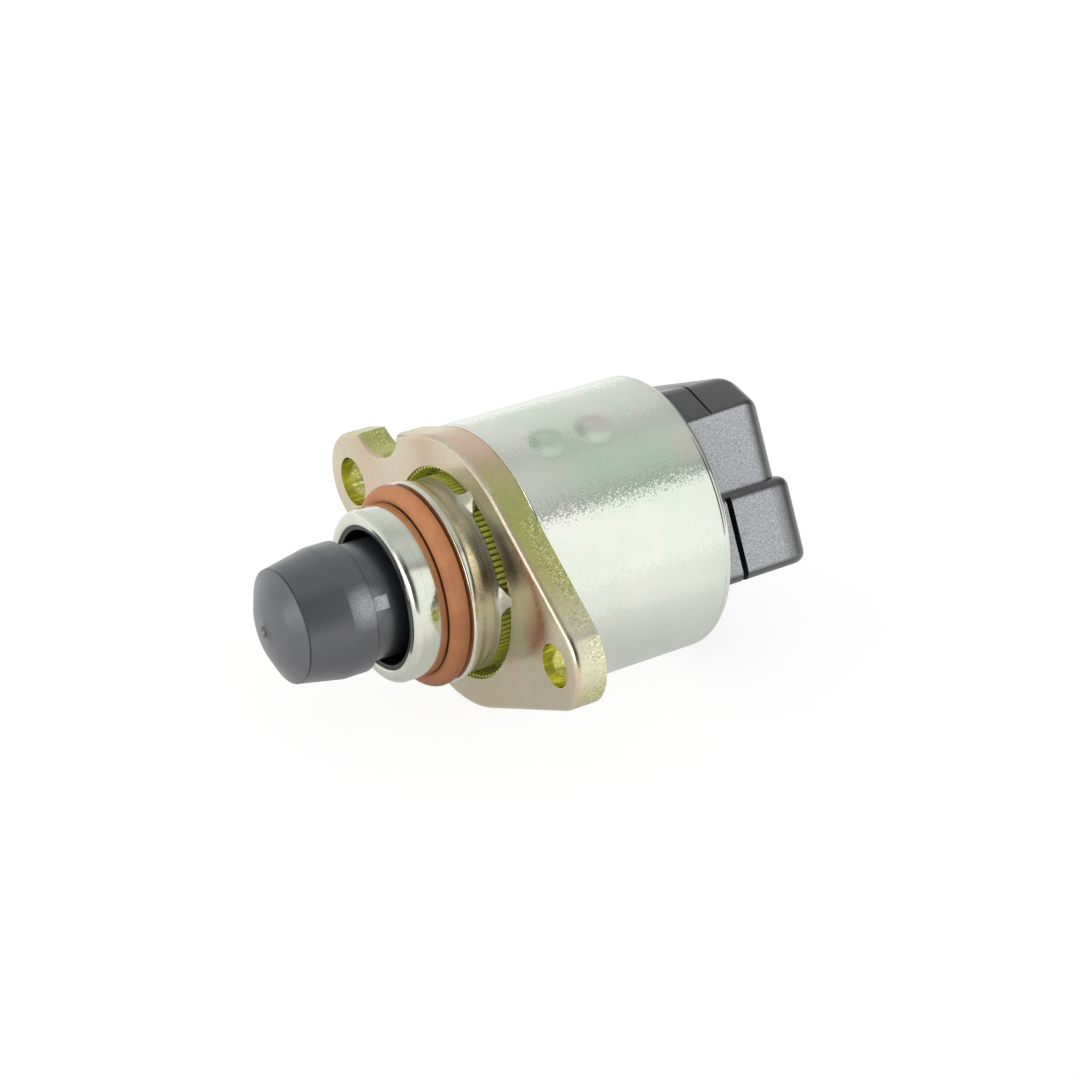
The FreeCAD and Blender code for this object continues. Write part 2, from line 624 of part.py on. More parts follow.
extrude(screw, "Flats", "XZ_Plane", drawFlats, s.screwR * 3, kind="PartDesign::Pocket", both=True)
parts["lead_screw"] = screw

# Front ball bearing: two grooved races, and the balls in their crown cage.
raceMidX = raceFrontX - s.raceWide / 2
trackR = s.ballR + s.ballFit
trackHalf = leg(trackR, s.raceGap)
for name, wall, rim, side in (("bearing_outer_race", ballPitchR + s.raceGap, s.bearingSeatR, -1),
                              ("bearing_inner_race", innerRaceR, s.journalR, 1)):
    parts[name] = turned(name, [
        (raceBackX, rim), (raceBackX, wall), (raceMidX - trackHalf, wall, trackR * side, raceMidX, ballPitchR),
        (raceMidX + trackHalf, wall), (raceFrontX, wall), (raceFrontX, rim)])

cageFrontX, cageBackX = raceMidX - s.cageReach, raceBackX + s.cageInset
cage = turned("ball_cage", [
    (cageBackX, ballPitchR - s.cageHalf), (cageFrontX, ballPitchR - s.cageHalf),
    (cageFrontX, ballPitchR + s.cageHalf), (cageBackX, ballPitchR + s.cageHalf)])
ball = cage.newObject("PartDesign::AdditiveSphere", "Ball")
ball.AttachmentSupport = [(plane(cage, "XY_Plane"), "")]
ball.MapMode = "FlatFace"
for path, amount in (("Radius", s.ballR), ("AttachmentOffset.Base.x", raceMidX),
                     ("AttachmentOffset.Base.z", ballPitchR)):
    bind(ball, path, amount)
around(cage, "Balls", ball, 8)
parts["ball_cage"] = cage

# Spring washer, dished, that loads the outer race against its seat.
washerIn, washerOut = seatStepR + s.washerPlay * 4, s.bearingSeatR - s.washerPlay
washerFlat = s.washerThick * 2
parts["wave_washer"] = turned("wave_washer", [
    (bearingWallX, washerIn), (bearingWallX, washerIn + washerFlat), (raceFrontX + s.washerThick, washerOut),
    (raceFrontX, washerOut), (raceFrontX, washerOut - washerFlat), (bearingWallX - s.washerThick, washerIn)])

# Rotor: a moulded hub with the brass nut inside and the ring magnet around it.
stemBoreR, neckHubR = s.screwR + s.stemClear, innerRaceR - s.hubStep
hubFaceX, tailEndX, stemBoreEndX = raceFrontX - s.hubInset, bushBackX + s.tailInset, hubBackX + s.hubEnd
parts["rotor_hub"] = turned("rotor_hub", [
    (hubFaceX, stemBoreR), (hubFaceX, s.journalR), (raceBackX, s.journalR),
    (raceBackX, neckHubR), (magnetFrontX, neckHubR), (magnetFrontX, hubR),
    (hubBackX, hubR), (hubBackX, s.tailR), (tailEndX, s.tailR), (tailEndX, 0),
    (stemBoreEndX, 0), (stemBoreEndX, stemBoreR), (nutBackX, stemBoreR),
    (nutBackX, s.nutR), (nutFrontX, s.nutR), (nutFrontX, stemBoreR)])
parts["rotor_magnet"] = turned("rotor_magnet", [
    (magnetBackX, hubR), (magnetFrontX, hubR), (magnetFrontX, magnetR - s.edgeBreak),
    (magnetFrontX - s.edgeBreak, magnetR), (magnetBackX + s.edgeBreak, magnetR),
    (magnetBackX, magnetR - s.edgeBreak)])
nutBoreR = s.screwR + s.threadFit
parts["drive_nut"] = turned("drive_nut", [
    (nutBackX, nutBoreR), (nutFrontX, nutBoreR), (nutFrontX, s.nutR), (nutBackX, s.nutR)])


clawCount = 6


# One pole piece of the stator. Each stack has an outer cup and, inside its rim, a flat plate; each
# reaches towards the other with six tapered claws. The stack begins at endX and runs towards -X or +X.
def clawPlate(name, outer, endX, towards, turn):
    def at(deep):
        return endX + deep * towards

    rim, inner = plugR - s.cupWall, poleBackR - s.plateThick / 2
    far = stackLong
    if outer:
        face, tip, start = s.plateThick, far - s.plateThick - s.clawGap, size(0)
        profile = [(size(0), inner), (size(0), plugR), (far, plugR), (far, rim), (face, rim), (face, inner)]
    else:
        face, tip, start = far - s.plateThick, s.plateThick + s.clawGap, far
        profile = [(far, inner), (far, rim), (face, rim), (face, inner)]
    body = newBody(name)
    spin(body, name + "Plate", [(at(deep), radius) for deep, radius in profile])

    def drawClaw(sketch):
        root, point = s.clawRoot / 2, s.clawTip / 2
        corners = [(start, -root), (face, -root), (tip, -point), (tip, point), (face, root), (start, root)]
        outline(sketch, [(at(deep), across) for deep, across in corners])

    sketch = newSketch(body, name + "ClawSketch", turn=turn)
    for axis, wave in (("y", "-sin"), ("z", "cos")):
        sketch.setExpression("AttachmentOffset.Base." + axis, "%s * %s(%s * 1 deg)" % (
            poleR.text, wave, size(turn).text))
    drawClaw(sketch)
    claw = body.newObject("PartDesign::Pad", name + "Claw")
    claw.Profile = sketch
    claw.Length = s.plateThick.value
    bind(claw, "Length", s.plateThick)
    sketch.Visibility = False
    around(body, name + "Claws", claw, clawCount)
    return body


halfStep = size(180.0 / clawCount)
for name, outer, endX, towards, turn in (
        ("cup_front_outer", True, stackFrontX, -1, size(0)),
        ("cup_front_inner", False, stackFrontX, -1, halfStep),
        ("cup_rear_inner", False, stackBackX, 1, s.stackTurn + halfStep),
        ("cup_rear_outer", True, stackBackX, 1, s.stackTurn)):
    parts[name] = clawPlate(name, outer, endX, towards, turn)

# Bobbins and their windings, one to a stack.
bobbinR = poleBackR + s.bobbinFit
cheekR = plugR - s.cupWall - s.cheekFit
coilR = cheekR - s.coilDeep
for end, shift in (("front", size(0)), ("rear", stackLong)):
    front = stackFrontX - s.plateThick - shift
    back = stackFrontX - stackLong + s.plateThick - shift
    core = bobbinR + s.bobbinWall
    parts["bobbin_" + end] = turned("bobbin_" + end, [
        (back, bobbinR), (front, bobbinR), (front, cheekR), (front - s.bobbinWall, cheekR),
        (front - s.bobbinWall, core), (back + s.bobbinWall, core), (back + s.bobbinWall, cheekR),
        (back, cheekR)])
    parts["coil_" + end] = turned("coil_" + end, [
        (back + s.bobbinWall, core), (front - s.bobbinWall, core), (front - s.bobbinWall, coilR - s.edgeBreak),
        (front - s.bobbinWall - s.edgeBreak, coilR), (back + s.bobbinWall + s.edgeBreak, coilR),
        (back + s.bobbinWall, coilR - s.edgeBreak)])

# Back bush, pressed into the cover.
bushBoreR = s.tailR + s.bushFit
parts["rear_bush"] = turned("rear_bush", [
    (bushBackX, bushBoreR), (plugFrontX, bushBoreR), (plugFrontX, s.bushR), (bushBackX, s.bushR)])

# Flat seal between the cover's plug and the can's rolled lip.
parts["cover_seal"] = turned("cover_seal", [
    (lipFrontX, canLipR), (sealFrontX, canLipR), (sealFrontX, plugR), (lipFrontX, plugR)])

# Cover with its right-angled connector: a plug in the can, a shroud whose mouth faces down and to the
# side, and an upper block over the pins' bends.
coverR = canLipR - s.coverFit
shroudHalf = plugR - s.shroudInset
upperHalf = shroudHalf - s.upperInset
upperTopHalf = upperHalf - s.upperChamfer
upperTop = plugR - s.upperTopInset
upperSideTop = plugR - s.upperSideInset
upperBackX = coverX - s.upperLong
shroudBackX = upperBackX - s.shroudBehind
socketFrontX, socketBackX = coverX - s.socketNeck, shroudBackX + s.socketBack
slotFrontX = coverX - s.slotNeck
slotBackX = slotFrontX - s.slotWide
cover = turned("coverBlock", [
    (plugFrontX, 0), (plugFrontX, plugR), (sealFrontX, plugR), (sealFrontX, coverR),
    (coverX, coverR), (coverX, 0)])


def drawShroud(sketch):
    outline(sketch, [(-shroudHalf, -s.shroudMouth), (shroudHalf, -s.shroudMouth),
                     (shroudHalf, s.stepZ), (-shroudHalf, s.stepZ)])


def drawUpper(sketch):
    outline(sketch, [(-upperHalf, 0), (upperHalf, 0), (upperHalf, upperSideTop),
                     (upperTopHalf, upperTop), (-upperTopHalf, upperTop), (-upperHalf, upperSideTop)])


def drawSlots(sketch):
    for side in (1, -1):
        near, far = (shroudHalf - s.slotDeep) * side, shroudHalf * 1.1 * side
        outline(sketch, [(slotBackX, near), (slotFrontX, near), (slotFrontX, far), (slotBackX, far)])


def drawSocket(sketch):
    half = shroudHalf - s.socketSide
    outline(sketch, [(socketBackX, -half), (socketFrontX, -half), (socketFrontX, half), (socketBackX, half)])


# Edges of the shroud's rim behind the side slots, without the slots' own.
def onRim(edge):
    box = edge.BoundBox
    outside = box.XMin < shroudBackX.value + 0.01 or max(-box.YMin, box.YMax) > shroudHalf.value - 0.01
    return (flatAt(edge, z=-s.shroudMouth) and outside and box.XMax < slotBackX.value + 0.01
            and not flatAt(edge, x=slotBackX))


# Edges of the shroud's top that stand out beside or behind the upper block.
def onLedge(edge):
    box = edge.BoundBox
    return (flatAt(edge, z=s.stepZ) and not flatAt(edge, x=coverX)
            and (max(-box.YMin, box.YMax) > upperHalf.value + 0.4 * s.upperInset.value
                 or box.XMin < upperBackX.value - 0.4 * s.shroudBehind.value))


extrude(cover, "UpperBlock", "YZ_Plane", drawUpper, coverX - upperBackX, lift=coverX, backwards=True)
dress(cover, "UpperBack", "Fillet",
      lambda e: flatAt(e, x=upperBackX) and e.BoundBox.ZMax > s.stepZ.value + 0.01, s.upperEdgeR)
extrude(cover, "Shroud", "YZ_Plane", drawShroud, coverX - shroudBackX, lift=coverX, backwards=True)
dress(cover, "ShroudBack", "Fillet",
      lambda e: flatAt(e, x=shroudBackX) and e.BoundBox.ZLength > s.shroudMouth.value, s.shroudEdgeR)
dress(cover, "ShroudTop", "Fillet", onLedge, within(s.shroudTopR, s.upperInset * 0.92))
extrude(cover, "SideSlots", "XY_Plane", drawSlots, (s.shroudMouth - s.slotTop) * 2,
        kind="PartDesign::Pocket", lift=-s.shroudMouth, both=True)
dress(cover, "ShroudRim", "Fillet", onRim, within(s.shroudTopR, s.socketBack * 0.84))
extrude(cover, "Socket", "XY_Plane", drawSocket, (s.shroudMouth - s.socketFloor) * 2,
        kind="PartDesign::Pocket", lift=-s.shroudMouth, both=True)
bushSeatX = bushBackX - s.bushRoom
spin(cover, "BushSeat", [(plugFrontX + 1, 0), (bushSeatX, 0), (bushSeatX, s.bushR), (plugFrontX + 1, s.bushR)],
     kind="PartDesign::Groove")
turnBody(cover, s.coverTurn)

# Four bent terminal pins, moulded into the cover, in one row in the middle of the socket.
pinRowX = (socketFrontX + socketBackX) / 2


def drawPin(sketch):
    half, tip = s.pinThick / 2, s.pinRecess - s.shroudMouth
    outline(sketch, [(plugFrontX, s.pinLegZ - half), (pinRowX + half, s.pinLegZ - half),
                     (pinRowX + half, tip), (pinRowX - half, tip),
                     (pinRowX - half, s.pinLegZ + half), (plugFrontX, s.pinLegZ + half)])


pins = []
for k in range(4):
    name = "terminal_pin_%d" % (k + 1)
    pin = newBody(name)
    extrude(pin, "PinBlade%d" % (k + 1), "XZ_Plane", drawPin, s.pinWide, lift=s.pinPitch * (k - 1.5), both=True)
    dress(pin, "PinPoint%d" % (k + 1), "Chamfer",
          lambda e: flatAt(e, z=s.pinRecess - s.shroudMouth) and e.BoundBox.XLength > 0.1, s.pinThick * 0.44)
    turnBody(pin, s.coverTurn)
    pins.append(pin)
    parts[name] = pin
pinSet = doc.addObject("Part::MultiFuse", "PinSet")
pinSet.Shapes = pins
housing = doc.addObject("Part::Cut", "CoverAroundPins")
housing.Base, housing.Tool = cover, pinSet
housing.Label = "connector_body"
parts["connector_body"] = housing

doc.recompute()
for thing in doc.Objects:
    if "Invalid" in thing.State or "Error" in thing.State:
        raise RuntimeError("%s (%s) did not compute" % (thing.Name, thing.Label))
for name, thing in parts.items():
    shape = thing.Shape
    if shape.isNull() or not shape.isValid() or len(shape.Solids) != 1:
        raise RuntimeError("%s is not one sound solid" % name)

os.makedirs("parts", exist_ok=True)
for name, thing in parts.items():
    thing.Shape.exportStep("parts/%s.step" % name)
    box = thing.Shape.optimalBoundingBox()
    print("%-20s %9.1f mm3  x %6.2f %6.2f  y %6.2f %6.2f  z %6.2f %6.2f" % (
        name, thing.Shape.Volume, box.XMin, box.XMax, box.YMin, box.YMax, box.ZMin, box.ZMax))
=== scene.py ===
import bpy
import bmesh
import math
from mathutils import Matrix, Vector


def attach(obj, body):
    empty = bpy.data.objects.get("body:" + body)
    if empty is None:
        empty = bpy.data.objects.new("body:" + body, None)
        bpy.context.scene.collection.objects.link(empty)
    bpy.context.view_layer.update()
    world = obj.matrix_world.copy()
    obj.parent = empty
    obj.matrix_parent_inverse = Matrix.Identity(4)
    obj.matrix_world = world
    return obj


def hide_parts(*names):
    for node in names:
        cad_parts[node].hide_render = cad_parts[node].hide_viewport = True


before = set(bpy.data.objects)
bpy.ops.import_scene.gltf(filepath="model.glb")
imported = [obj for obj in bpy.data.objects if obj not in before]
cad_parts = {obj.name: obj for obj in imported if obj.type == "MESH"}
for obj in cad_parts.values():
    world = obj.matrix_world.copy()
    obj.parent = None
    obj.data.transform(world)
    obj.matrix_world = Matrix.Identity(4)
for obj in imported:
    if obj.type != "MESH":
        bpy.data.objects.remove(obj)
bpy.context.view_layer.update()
mm = 0.001
alongX = Matrix.Rotation(math.radians(90), 4, "Y")  # turns a circle or rod from Z to X


def meshFrom(bm, name):
    mesh = bpy.data.meshes.new(name)
    bm.to_mesh(mesh)
    bm.free()
    return mesh


def addObject(name, data):
    made = bpy.data.objects.new(name, data)
    bpy.context.scene.collection.objects.link(made)
    return made


def faceOutward(bm):
    bmesh.ops.recalc_face_normals(bm, faces=bm.faces[:])


def moveBy(bm, verts, x, y, z):
    bmesh.ops.translate(bm, verts=verts, vec=(x * mm, y * mm, z * mm))


def turnAboutX(bm, degrees):
    turn = Matrix.Rotation(math.radians(degrees), 3, "X")
    bmesh.ops.rotate(bm, verts=bm.verts[:], cent=(0, 0, 0), matrix=turn)


def bevelEdges(bm, edges, width, segments, clamp=False):
    bmesh.ops.bevel(bm, geom=edges, offset=width * mm, offset_type="OFFSET", segments=segments,
                    profile=0.5, affect="EDGES", material=-1, clamp_overlap=clamp)


def fromAxis(vert):
    return math.hypot(vert.co.y, vert.co.z)


def softenRing(bm, x, r, width, segments):
    def on(vert):
        return abs(vert.co.x - x * mm) < 2e-5 and abs(fromAxis(vert) - r * mm) < 2e-5
    bevelEdges(bm, [e for e in bm.edges if on(e.verts[0]) and on(e.verts[1])], width, segments)


# Closed profile of (x, radius) in mm, turned about the X axis. A bevel is (x, radius, width, segments).
def turnedShape(profile, bevels=(), steps=160, arc=360.0, start=0.0):
    bm = bmesh.new()
    corners = [bm.verts.new((x * mm, r * mm, 0)) for x, r in profile]
    onAxis = profile[0][1] == 0 and profile[-1][1] == 0
    pairs = list(zip(corners, corners[1:])) + ([] if onAxis else [(corners[-1], corners[0])])
    edges = [bm.edges.new(pair) for pair in pairs]
    closed = arc >= 360
    if not closed and not onAxis:
        bmesh.ops.contextual_create(bm, geom=edges)
    turnAboutX(bm, start)
    bmesh.ops.spin(bm, geom=bm.verts[:] + bm.edges[:] + bm.faces[:], axis=(1, 0, 0), cent=(0, 0, 0),
                   angle=math.radians(arc), steps=steps, use_merge=closed, use_duplicate=False)
    bmesh.ops.remove_doubles(bm, verts=bm.verts[:], dist=1e-7)
    faceOutward(bm)
    for bevel in bevels:
        softenRing(bm, *bevel)
    return bm


# Rod along X: centre (y, z) and radius in mm, from one x to another.
def rodAt(y, z, radius, fromX, toX, steps=96):
    bm = bmesh.new()
    bmesh.ops.create_cone(bm, cap_ends=True, segments=steps, radius1=radius * mm, radius2=radius * mm,
                          depth=abs(toX - fromX) * mm, matrix=alongX)
    moveBy(bm, bm.verts[:], (fromX + toX) / 2, y, z)
    return bm


# Block from its lowest to its highest corner in mm.
def blockAt(low, high):
    bm = bmesh.new()
    bmesh.ops.create_cube(bm, size=1.0)
    low, high = Vector(low) * mm, Vector(high) * mm
    bmesh.ops.scale(bm, verts=bm.verts[:], vec=high - low)
    bmesh.ops.translate(bm, verts=bm.verts[:], vec=(low + high) / 2)
    return bm


# Adds one shape to another, as a shell of its own.
def joinShape(bm, other):
    loose = meshFrom(other, "joined")
    bm.from_mesh(loose)
    bpy.data.meshes.remove(loose)


# Cuts shapes out of a body with live booleans, and hands back the result.
def cutOut(bm, cutters):
    blank, *tools = [addObject("cutting", meshFrom(shape, "cutting")) for shape in (bm, *cutters)]
    for tool in tools:
        cut = blank.modifiers.new("cut", "BOOLEAN")
        cut.operation, cut.solver, cut.object = "DIFFERENCE", "EXACT", tool
    bpy.context.view_layer.update()
    cutMesh = bpy.data.meshes.new_from_object(blank.evaluated_get(bpy.context.evaluated_depsgraph_get()))
    result = bmesh.new()
    result.from_mesh(cutMesh)
    bpy.data.meshes.remove(cutMesh)
    for made in (blank, *tools):
        mesh = made.data
        bpy.data.objects.remove(made)
        bpy.data.meshes.remove(mesh)
    bmesh.ops.remove_doubles(result, verts=result.verts[:], dist=1e-6)
    return result


# Smooth faces with the sharp edges marked, then the finish, the body it rides on and the nodes it replaces.
def finishPiece(name, bm, material, body, nodes=(), sharp=32.0):
    for face in bm.faces:
        face.smooth = True
    for edge in bm.edges:
        if len(edge.link_faces) != 2 or edge.calc_face_angle(0) > math.radians(sharp):
            edge.smooth = False
    piece = addObject(name, meshFrom(bm, name))
    piece.data.materials.append(material)
    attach(piece, body)
    if nodes:
        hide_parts(*nodes)
    print("piece:", name, len(piece.data.polygons), "faces")
    return piece


def addNode(tree, kind, sockets=None, **settings):
    node = tree.nodes.new(kind)
    for key, value in settings.items():
        setattr(node, key, value)
    for key, value in (sockets or {}).items():
        socket = node.inputs[key]
        if isinstance(value, bpy.types.NodeSocket):
            tree.links.new(value, socket)
        else:
            socket.default_value = value
    return node


def newGroup(name, *inputs):
    tree = bpy.data.node_groups.new(name, "ShaderNodeTree")
    for label, kind, value in inputs:
        socket = tree.interface.new_socket(label, in_out="INPUT", socket_type="NodeSocket" + kind)
        socket.default_value = value
    return tree, tree.nodes.new("NodeGroupInput").outputs


# Puts the values of a finished group out, all of one kind.
def handOut(tree, kind, **values):
    for label in values:
        tree.interface.new_socket(label, in_out="OUTPUT", socket_type="NodeSocket" + kind)
    addNode(tree, "NodeGroupOutput", values)
    return tree


def mathNode(tree, operation, a, b=0.0, clamp=False):
    return addNode(tree, "ShaderNodeMath", {0: a, 1: b}, operation=operation, use_clamp=clamp).outputs[0]


def times(tree, a, b):
    return mathNode(tree, "MULTIPLY", a, b)


def plus(tree, a, b):
    return mathNode(tree, "ADD", a, b)


def vectorNode(tree, operation, a, b=(0, 0, 0), scale=1.0):
    node = addNode(tree, "ShaderNodeVectorMath", {0: a, 1: b, 3: scale}, operation=operation)
    return node.outputs["Value" if operation in ("DISTANCE", "DOT_PRODUCT") else "Vector"]


def ramped(tree, value, low, high, toLow=0.0, toHigh=1.0):
    sockets = {"Value": value, "From Min": low, "From Max": high, "To Min": toLow, "To Max": toHigh}
    return addNode(tree, "ShaderNodeMapRange", sockets).outputs["Result"]


# Ramp over a length in mm, given as (from, to).
def rampedOver(tree, value, span, toLow=0.0, toHigh=1.0):
    return ramped(tree, value, span[0] * mm, span[1] * mm, toLow, toHigh)


def mixed(tree, amount, first, second):
    node = addNode(tree, "ShaderNodeMix", {0: amount, 6: first, 7: second}, data_type="RGBA")
    return node.outputs[2]


def mixedLevel(tree, amount, first, second):
    return addNode(tree, "ShaderNodeMix", {0: amount, 2: first, 3: second}, data_type="FLOAT").outputs[0]


def coords(tree, kind="Object"):
    return addNode(tree, "ShaderNodeTexCoord").outputs[kind]


def apart(tree, vector):
    return addNode(tree, "ShaderNodeSeparateXYZ", {0: vector}).outputs


# Distance along the X axis, the radius around it, and the height.
def axisPlace(tree):
    x, y, z = apart(tree, coords(tree))
    squares = [mathNode(tree, "POWER", side, 2.0) for side in (y, z)]
    return x, mathNode(tree, "SQRT", plus(tree, *squares)), z


def noiseAt(tree, place, scale, detail=3.0, roughness=0.55, distortion=0.0):
    return addNode(tree, "ShaderNodeTexNoise", {
        "Vector": place, "Scale": scale, "Detail": detail, "Roughness": roughness,
        "Distortion": distortion}).outputs["Fac"]


def rgb(red, green, blue):
    return (red, green, blue, 1.0)


# Slow drift of a finish between three colours, as on passivated zinc.
def buildColourDrift():
    tree, given = newGroup(
        "colourDrift", ("Main", "Color", rgb(.6, .6, .6)), ("Second", "Color", rgb(.6, .6, .5)),
        ("Third", "Color", rgb(.6, .5, .5)), ("Per metre", "Float", 150.0), ("Second share", "Float", 0.5),
        ("Third share", "Float", 0.5), ("Shift", "Vector", (0, 0, 0)))
    place = vectorNode(tree, "ADD", coords(tree), given["Shift"])
    far = vectorNode(tree, "ADD", place, (0.37, 0.11, 0.23))
    first = ramped(tree, noiseAt(tree, place, given["Per metre"], 4.0, 0.6, 0.3), 0.42, 0.62)
    other = ramped(tree, noiseAt(tree, far, given["Per metre"], 5.0, 0.65, 0.6), 0.45, 0.62)
    once = mixed(tree, times(tree, first, given["Second share"]), given["Main"], given["Second"])
    twice = mixed(tree, times(tree, other, given["Third share"]), once, given["Third"])
    return handOut(tree, "Color", Color=twice)


# Fine grain: a height and a mask from the same noise.
def buildFineGrain():
    tree, given = newGroup("fineGrain", ("Per metre", "Float", 4000.0), ("Low", "Float", 0.4),
                           ("High", "Float", 0.6))
    grain = noiseAt(tree, coords(tree), given["Per metre"], 2.0, 0.6)
    return handOut(tree, "Float", Height=grain, Mask=ramped(tree, grain, given["Low"], given["High"]))


# Fine turning marks around the X axis: noise over position along the axis and radius alone.
def buildLatheMarks():
    tree, given = newGroup("latheMarks", ("Per metre", "Float", 3000.0), ("Wander", "Float", 0.02))
    along, radius, height = axisPlace(tree)
    drift = times(tree, height, given["Wander"])
    place = addNode(tree, "ShaderNodeCombineXYZ", {0: along, 1: radius, 2: drift}).outputs[0]
    marks = noiseAt(tree, place, given["Per metre"], 3.0, 0.7)
    return handOut(tree, "Float", Height=marks, Mask=ramped(tree, marks, 0.45, 0.68))


def cellColour(tree, perMetre):
    cells = addNode(tree, "ShaderNodeTexVoronoi", {"Vector": coords(tree), "Scale": perMetre})
    return cells.outputs["Color"]


# Scattered small flakes, each a cell of its own: a mask of the few that show.
def buildFlakes():
    tree, given = newGroup("flakes", ("Per metre", "Float", 2500.0), ("Share", "Float", 0.1))
    tone = addNode(tree, "ShaderNodeSeparateColor", {0: cellColour(tree, given["Per metre"])}).outputs[0]
    return handOut(tree, "Float", Mask=mathNode(tree, "LESS_THAN", tone, given["Share"]))


# Crystal facets of a zinc layer: each small cell leans its own way.
def buildZincFacets():
    tree, given = newGroup("zincFacets", ("Per metre", "Float", 4000.0), ("Lean", "Float", 0.1))
    centred = vectorNode(tree, "SUBTRACT", cellColour(tree, given["Per metre"]), (0.5, 0.5, 0.5))
    lean = vectorNode(tree, "SCALE", centred, scale=given["Lean"])
    tilted = vectorNode(tree, "ADD", addNode(tree, "ShaderNodeNewGeometry").outputs["Normal"], lean)
    return handOut(tree, "Vector", Normal=vectorNode(tree, "NORMALIZE", tilted))


# Walls that run along the X axis, apart from faces and rounded edges that look along it.
def buildSideFaces():
    tree, given = newGroup("sideFaces", ("Low", "Float", 0.15), ("High", "Float", 0.45))
    along = mathNode(tree, "ABSOLUTE", apart(tree, coords(tree, "Normal"))[0])
    return handOut(tree, "Float", Mask=ramped(tree, along, given["High"], given["Low"]))


# Faces that look one way or straight the other way.
def buildFacing():
    tree, given = newGroup("facing", ("Direction", "Vector", (0, 1, 0)), ("Low", "Float", 0.9),
                           ("High", "Float", 0.98))
    along = vectorNode(tree, "DOT_PRODUCT", coords(tree, "Normal"), given["Direction"])
    return handOut(tree, "Float", Mask=ramped(
        tree, mathNode(tree, "ABSOLUTE", along), given["Low"], given["High"]))


# Soft mask around a point.
def buildNearPoint():
    tree, given = newGroup("nearPoint", ("Point", "Vector", (0, 0, 0)), ("Inner", "Float", 0.001),
                           ("Outer", "Float", 0.004))
    away = vectorNode(tree, "DISTANCE", coords(tree), given["Point"])
    return handOut(tree, "Float", Mask=ramped(tree, away, given["Outer"], given["Inner"]))


colourDrift, fineGrain, latheMarks = buildColourDrift(), buildFineGrain(), buildLatheMarks()
flakes, sideFaces, facing = buildFlakes(), buildSideFaces(), buildFacing()
nearPoint, zincFacets = buildNearPoint(), buildZincFacets()
print("shading tools ready")


def placed(tree, group, **values):
    sockets = {key[0].upper() + "".join(" " + c.lower() if c.isupper() else c for c in key[1:]): value
               for key, value in values.items()}
    return addNode(tree, "ShaderNodeGroup", sockets, node_tree=group).outputs


# Drift between three colours that a look names.
def drifting(tree, look, names, perMetre, secondShare, thirdShare, shift=(0, 0, 0)):
    main, second, third = (look[name] for name in names.split())
    return placed(tree, colourDrift, main=main, second=second, third=third, perMetre=perMetre,
                  secondShare=secondShare, thirdShare=thirdShare, shift=shift)["Color"]


def grainAt(tree, perMetre, low, high):
    return placed(tree, fineGrain, perMetre=perMetre, low=low, high=high)


def flakesAt(tree, perMetre, share):
    return placed(tree, flakes, perMetre=perMetre, share=share)["Mask"]


def turningMarks(tree, perMetre, wander):
    return placed(tree, latheMarks, perMetre=perMetre, wander=wander)


# Mask around a point, all in mm.
def nearMask(tree, point, inner, outer):
    return placed(tree, nearPoint, point=[c * mm for c in point], inner=inner * mm, outer=outer * mm)["Mask"]


# Tints a colour at places: each is a point in mm, a colour, a strength and a reach in mm.
def tinted(tree, colour, tints, inner):
    for point, tint, strength, reach in tints:
        near = nearMask(tree, point, inner, reach)
        colour = mixed(tree, times(tree, near, strength), colour, tint)
    return colour


# Roughness that a mask raises above its base.
def roughened(tree, mask, spread, base):
    return plus(tree, times(tree, mask, spread), base)


def newMaterial(name, **fixed):
    material = bpy.data.materials.new(name)
    material.use_nodes = True
    tree = material.node_tree
    shader = tree.nodes["Principled BSDF"]
    for key, value in fixed.items():
        shader.inputs[key.replace("_", " ")].default_value = value
    return material, tree, shader


# Bumps laid over each other: each layer is a height, its depth in mm and a strength.
def bumped(tree, shader, *layers, base=None):
    last = base
    for height, depth, strength in layers:
        sockets = {"Height": height, "Distance": depth * mm, "Strength": strength}
        if last is not None:
            sockets["Normal"] = last
        last = addNode(tree, "ShaderNodeBump", sockets).outputs["Normal"]
    tree.links.new(last, shader.inputs["Normal"])


def feed(tree, shader, colour, rough):
    tree.links.new(colour, shader.inputs["Base Color"])
    tree.links.new(rough, shader.inputs["Roughness"])


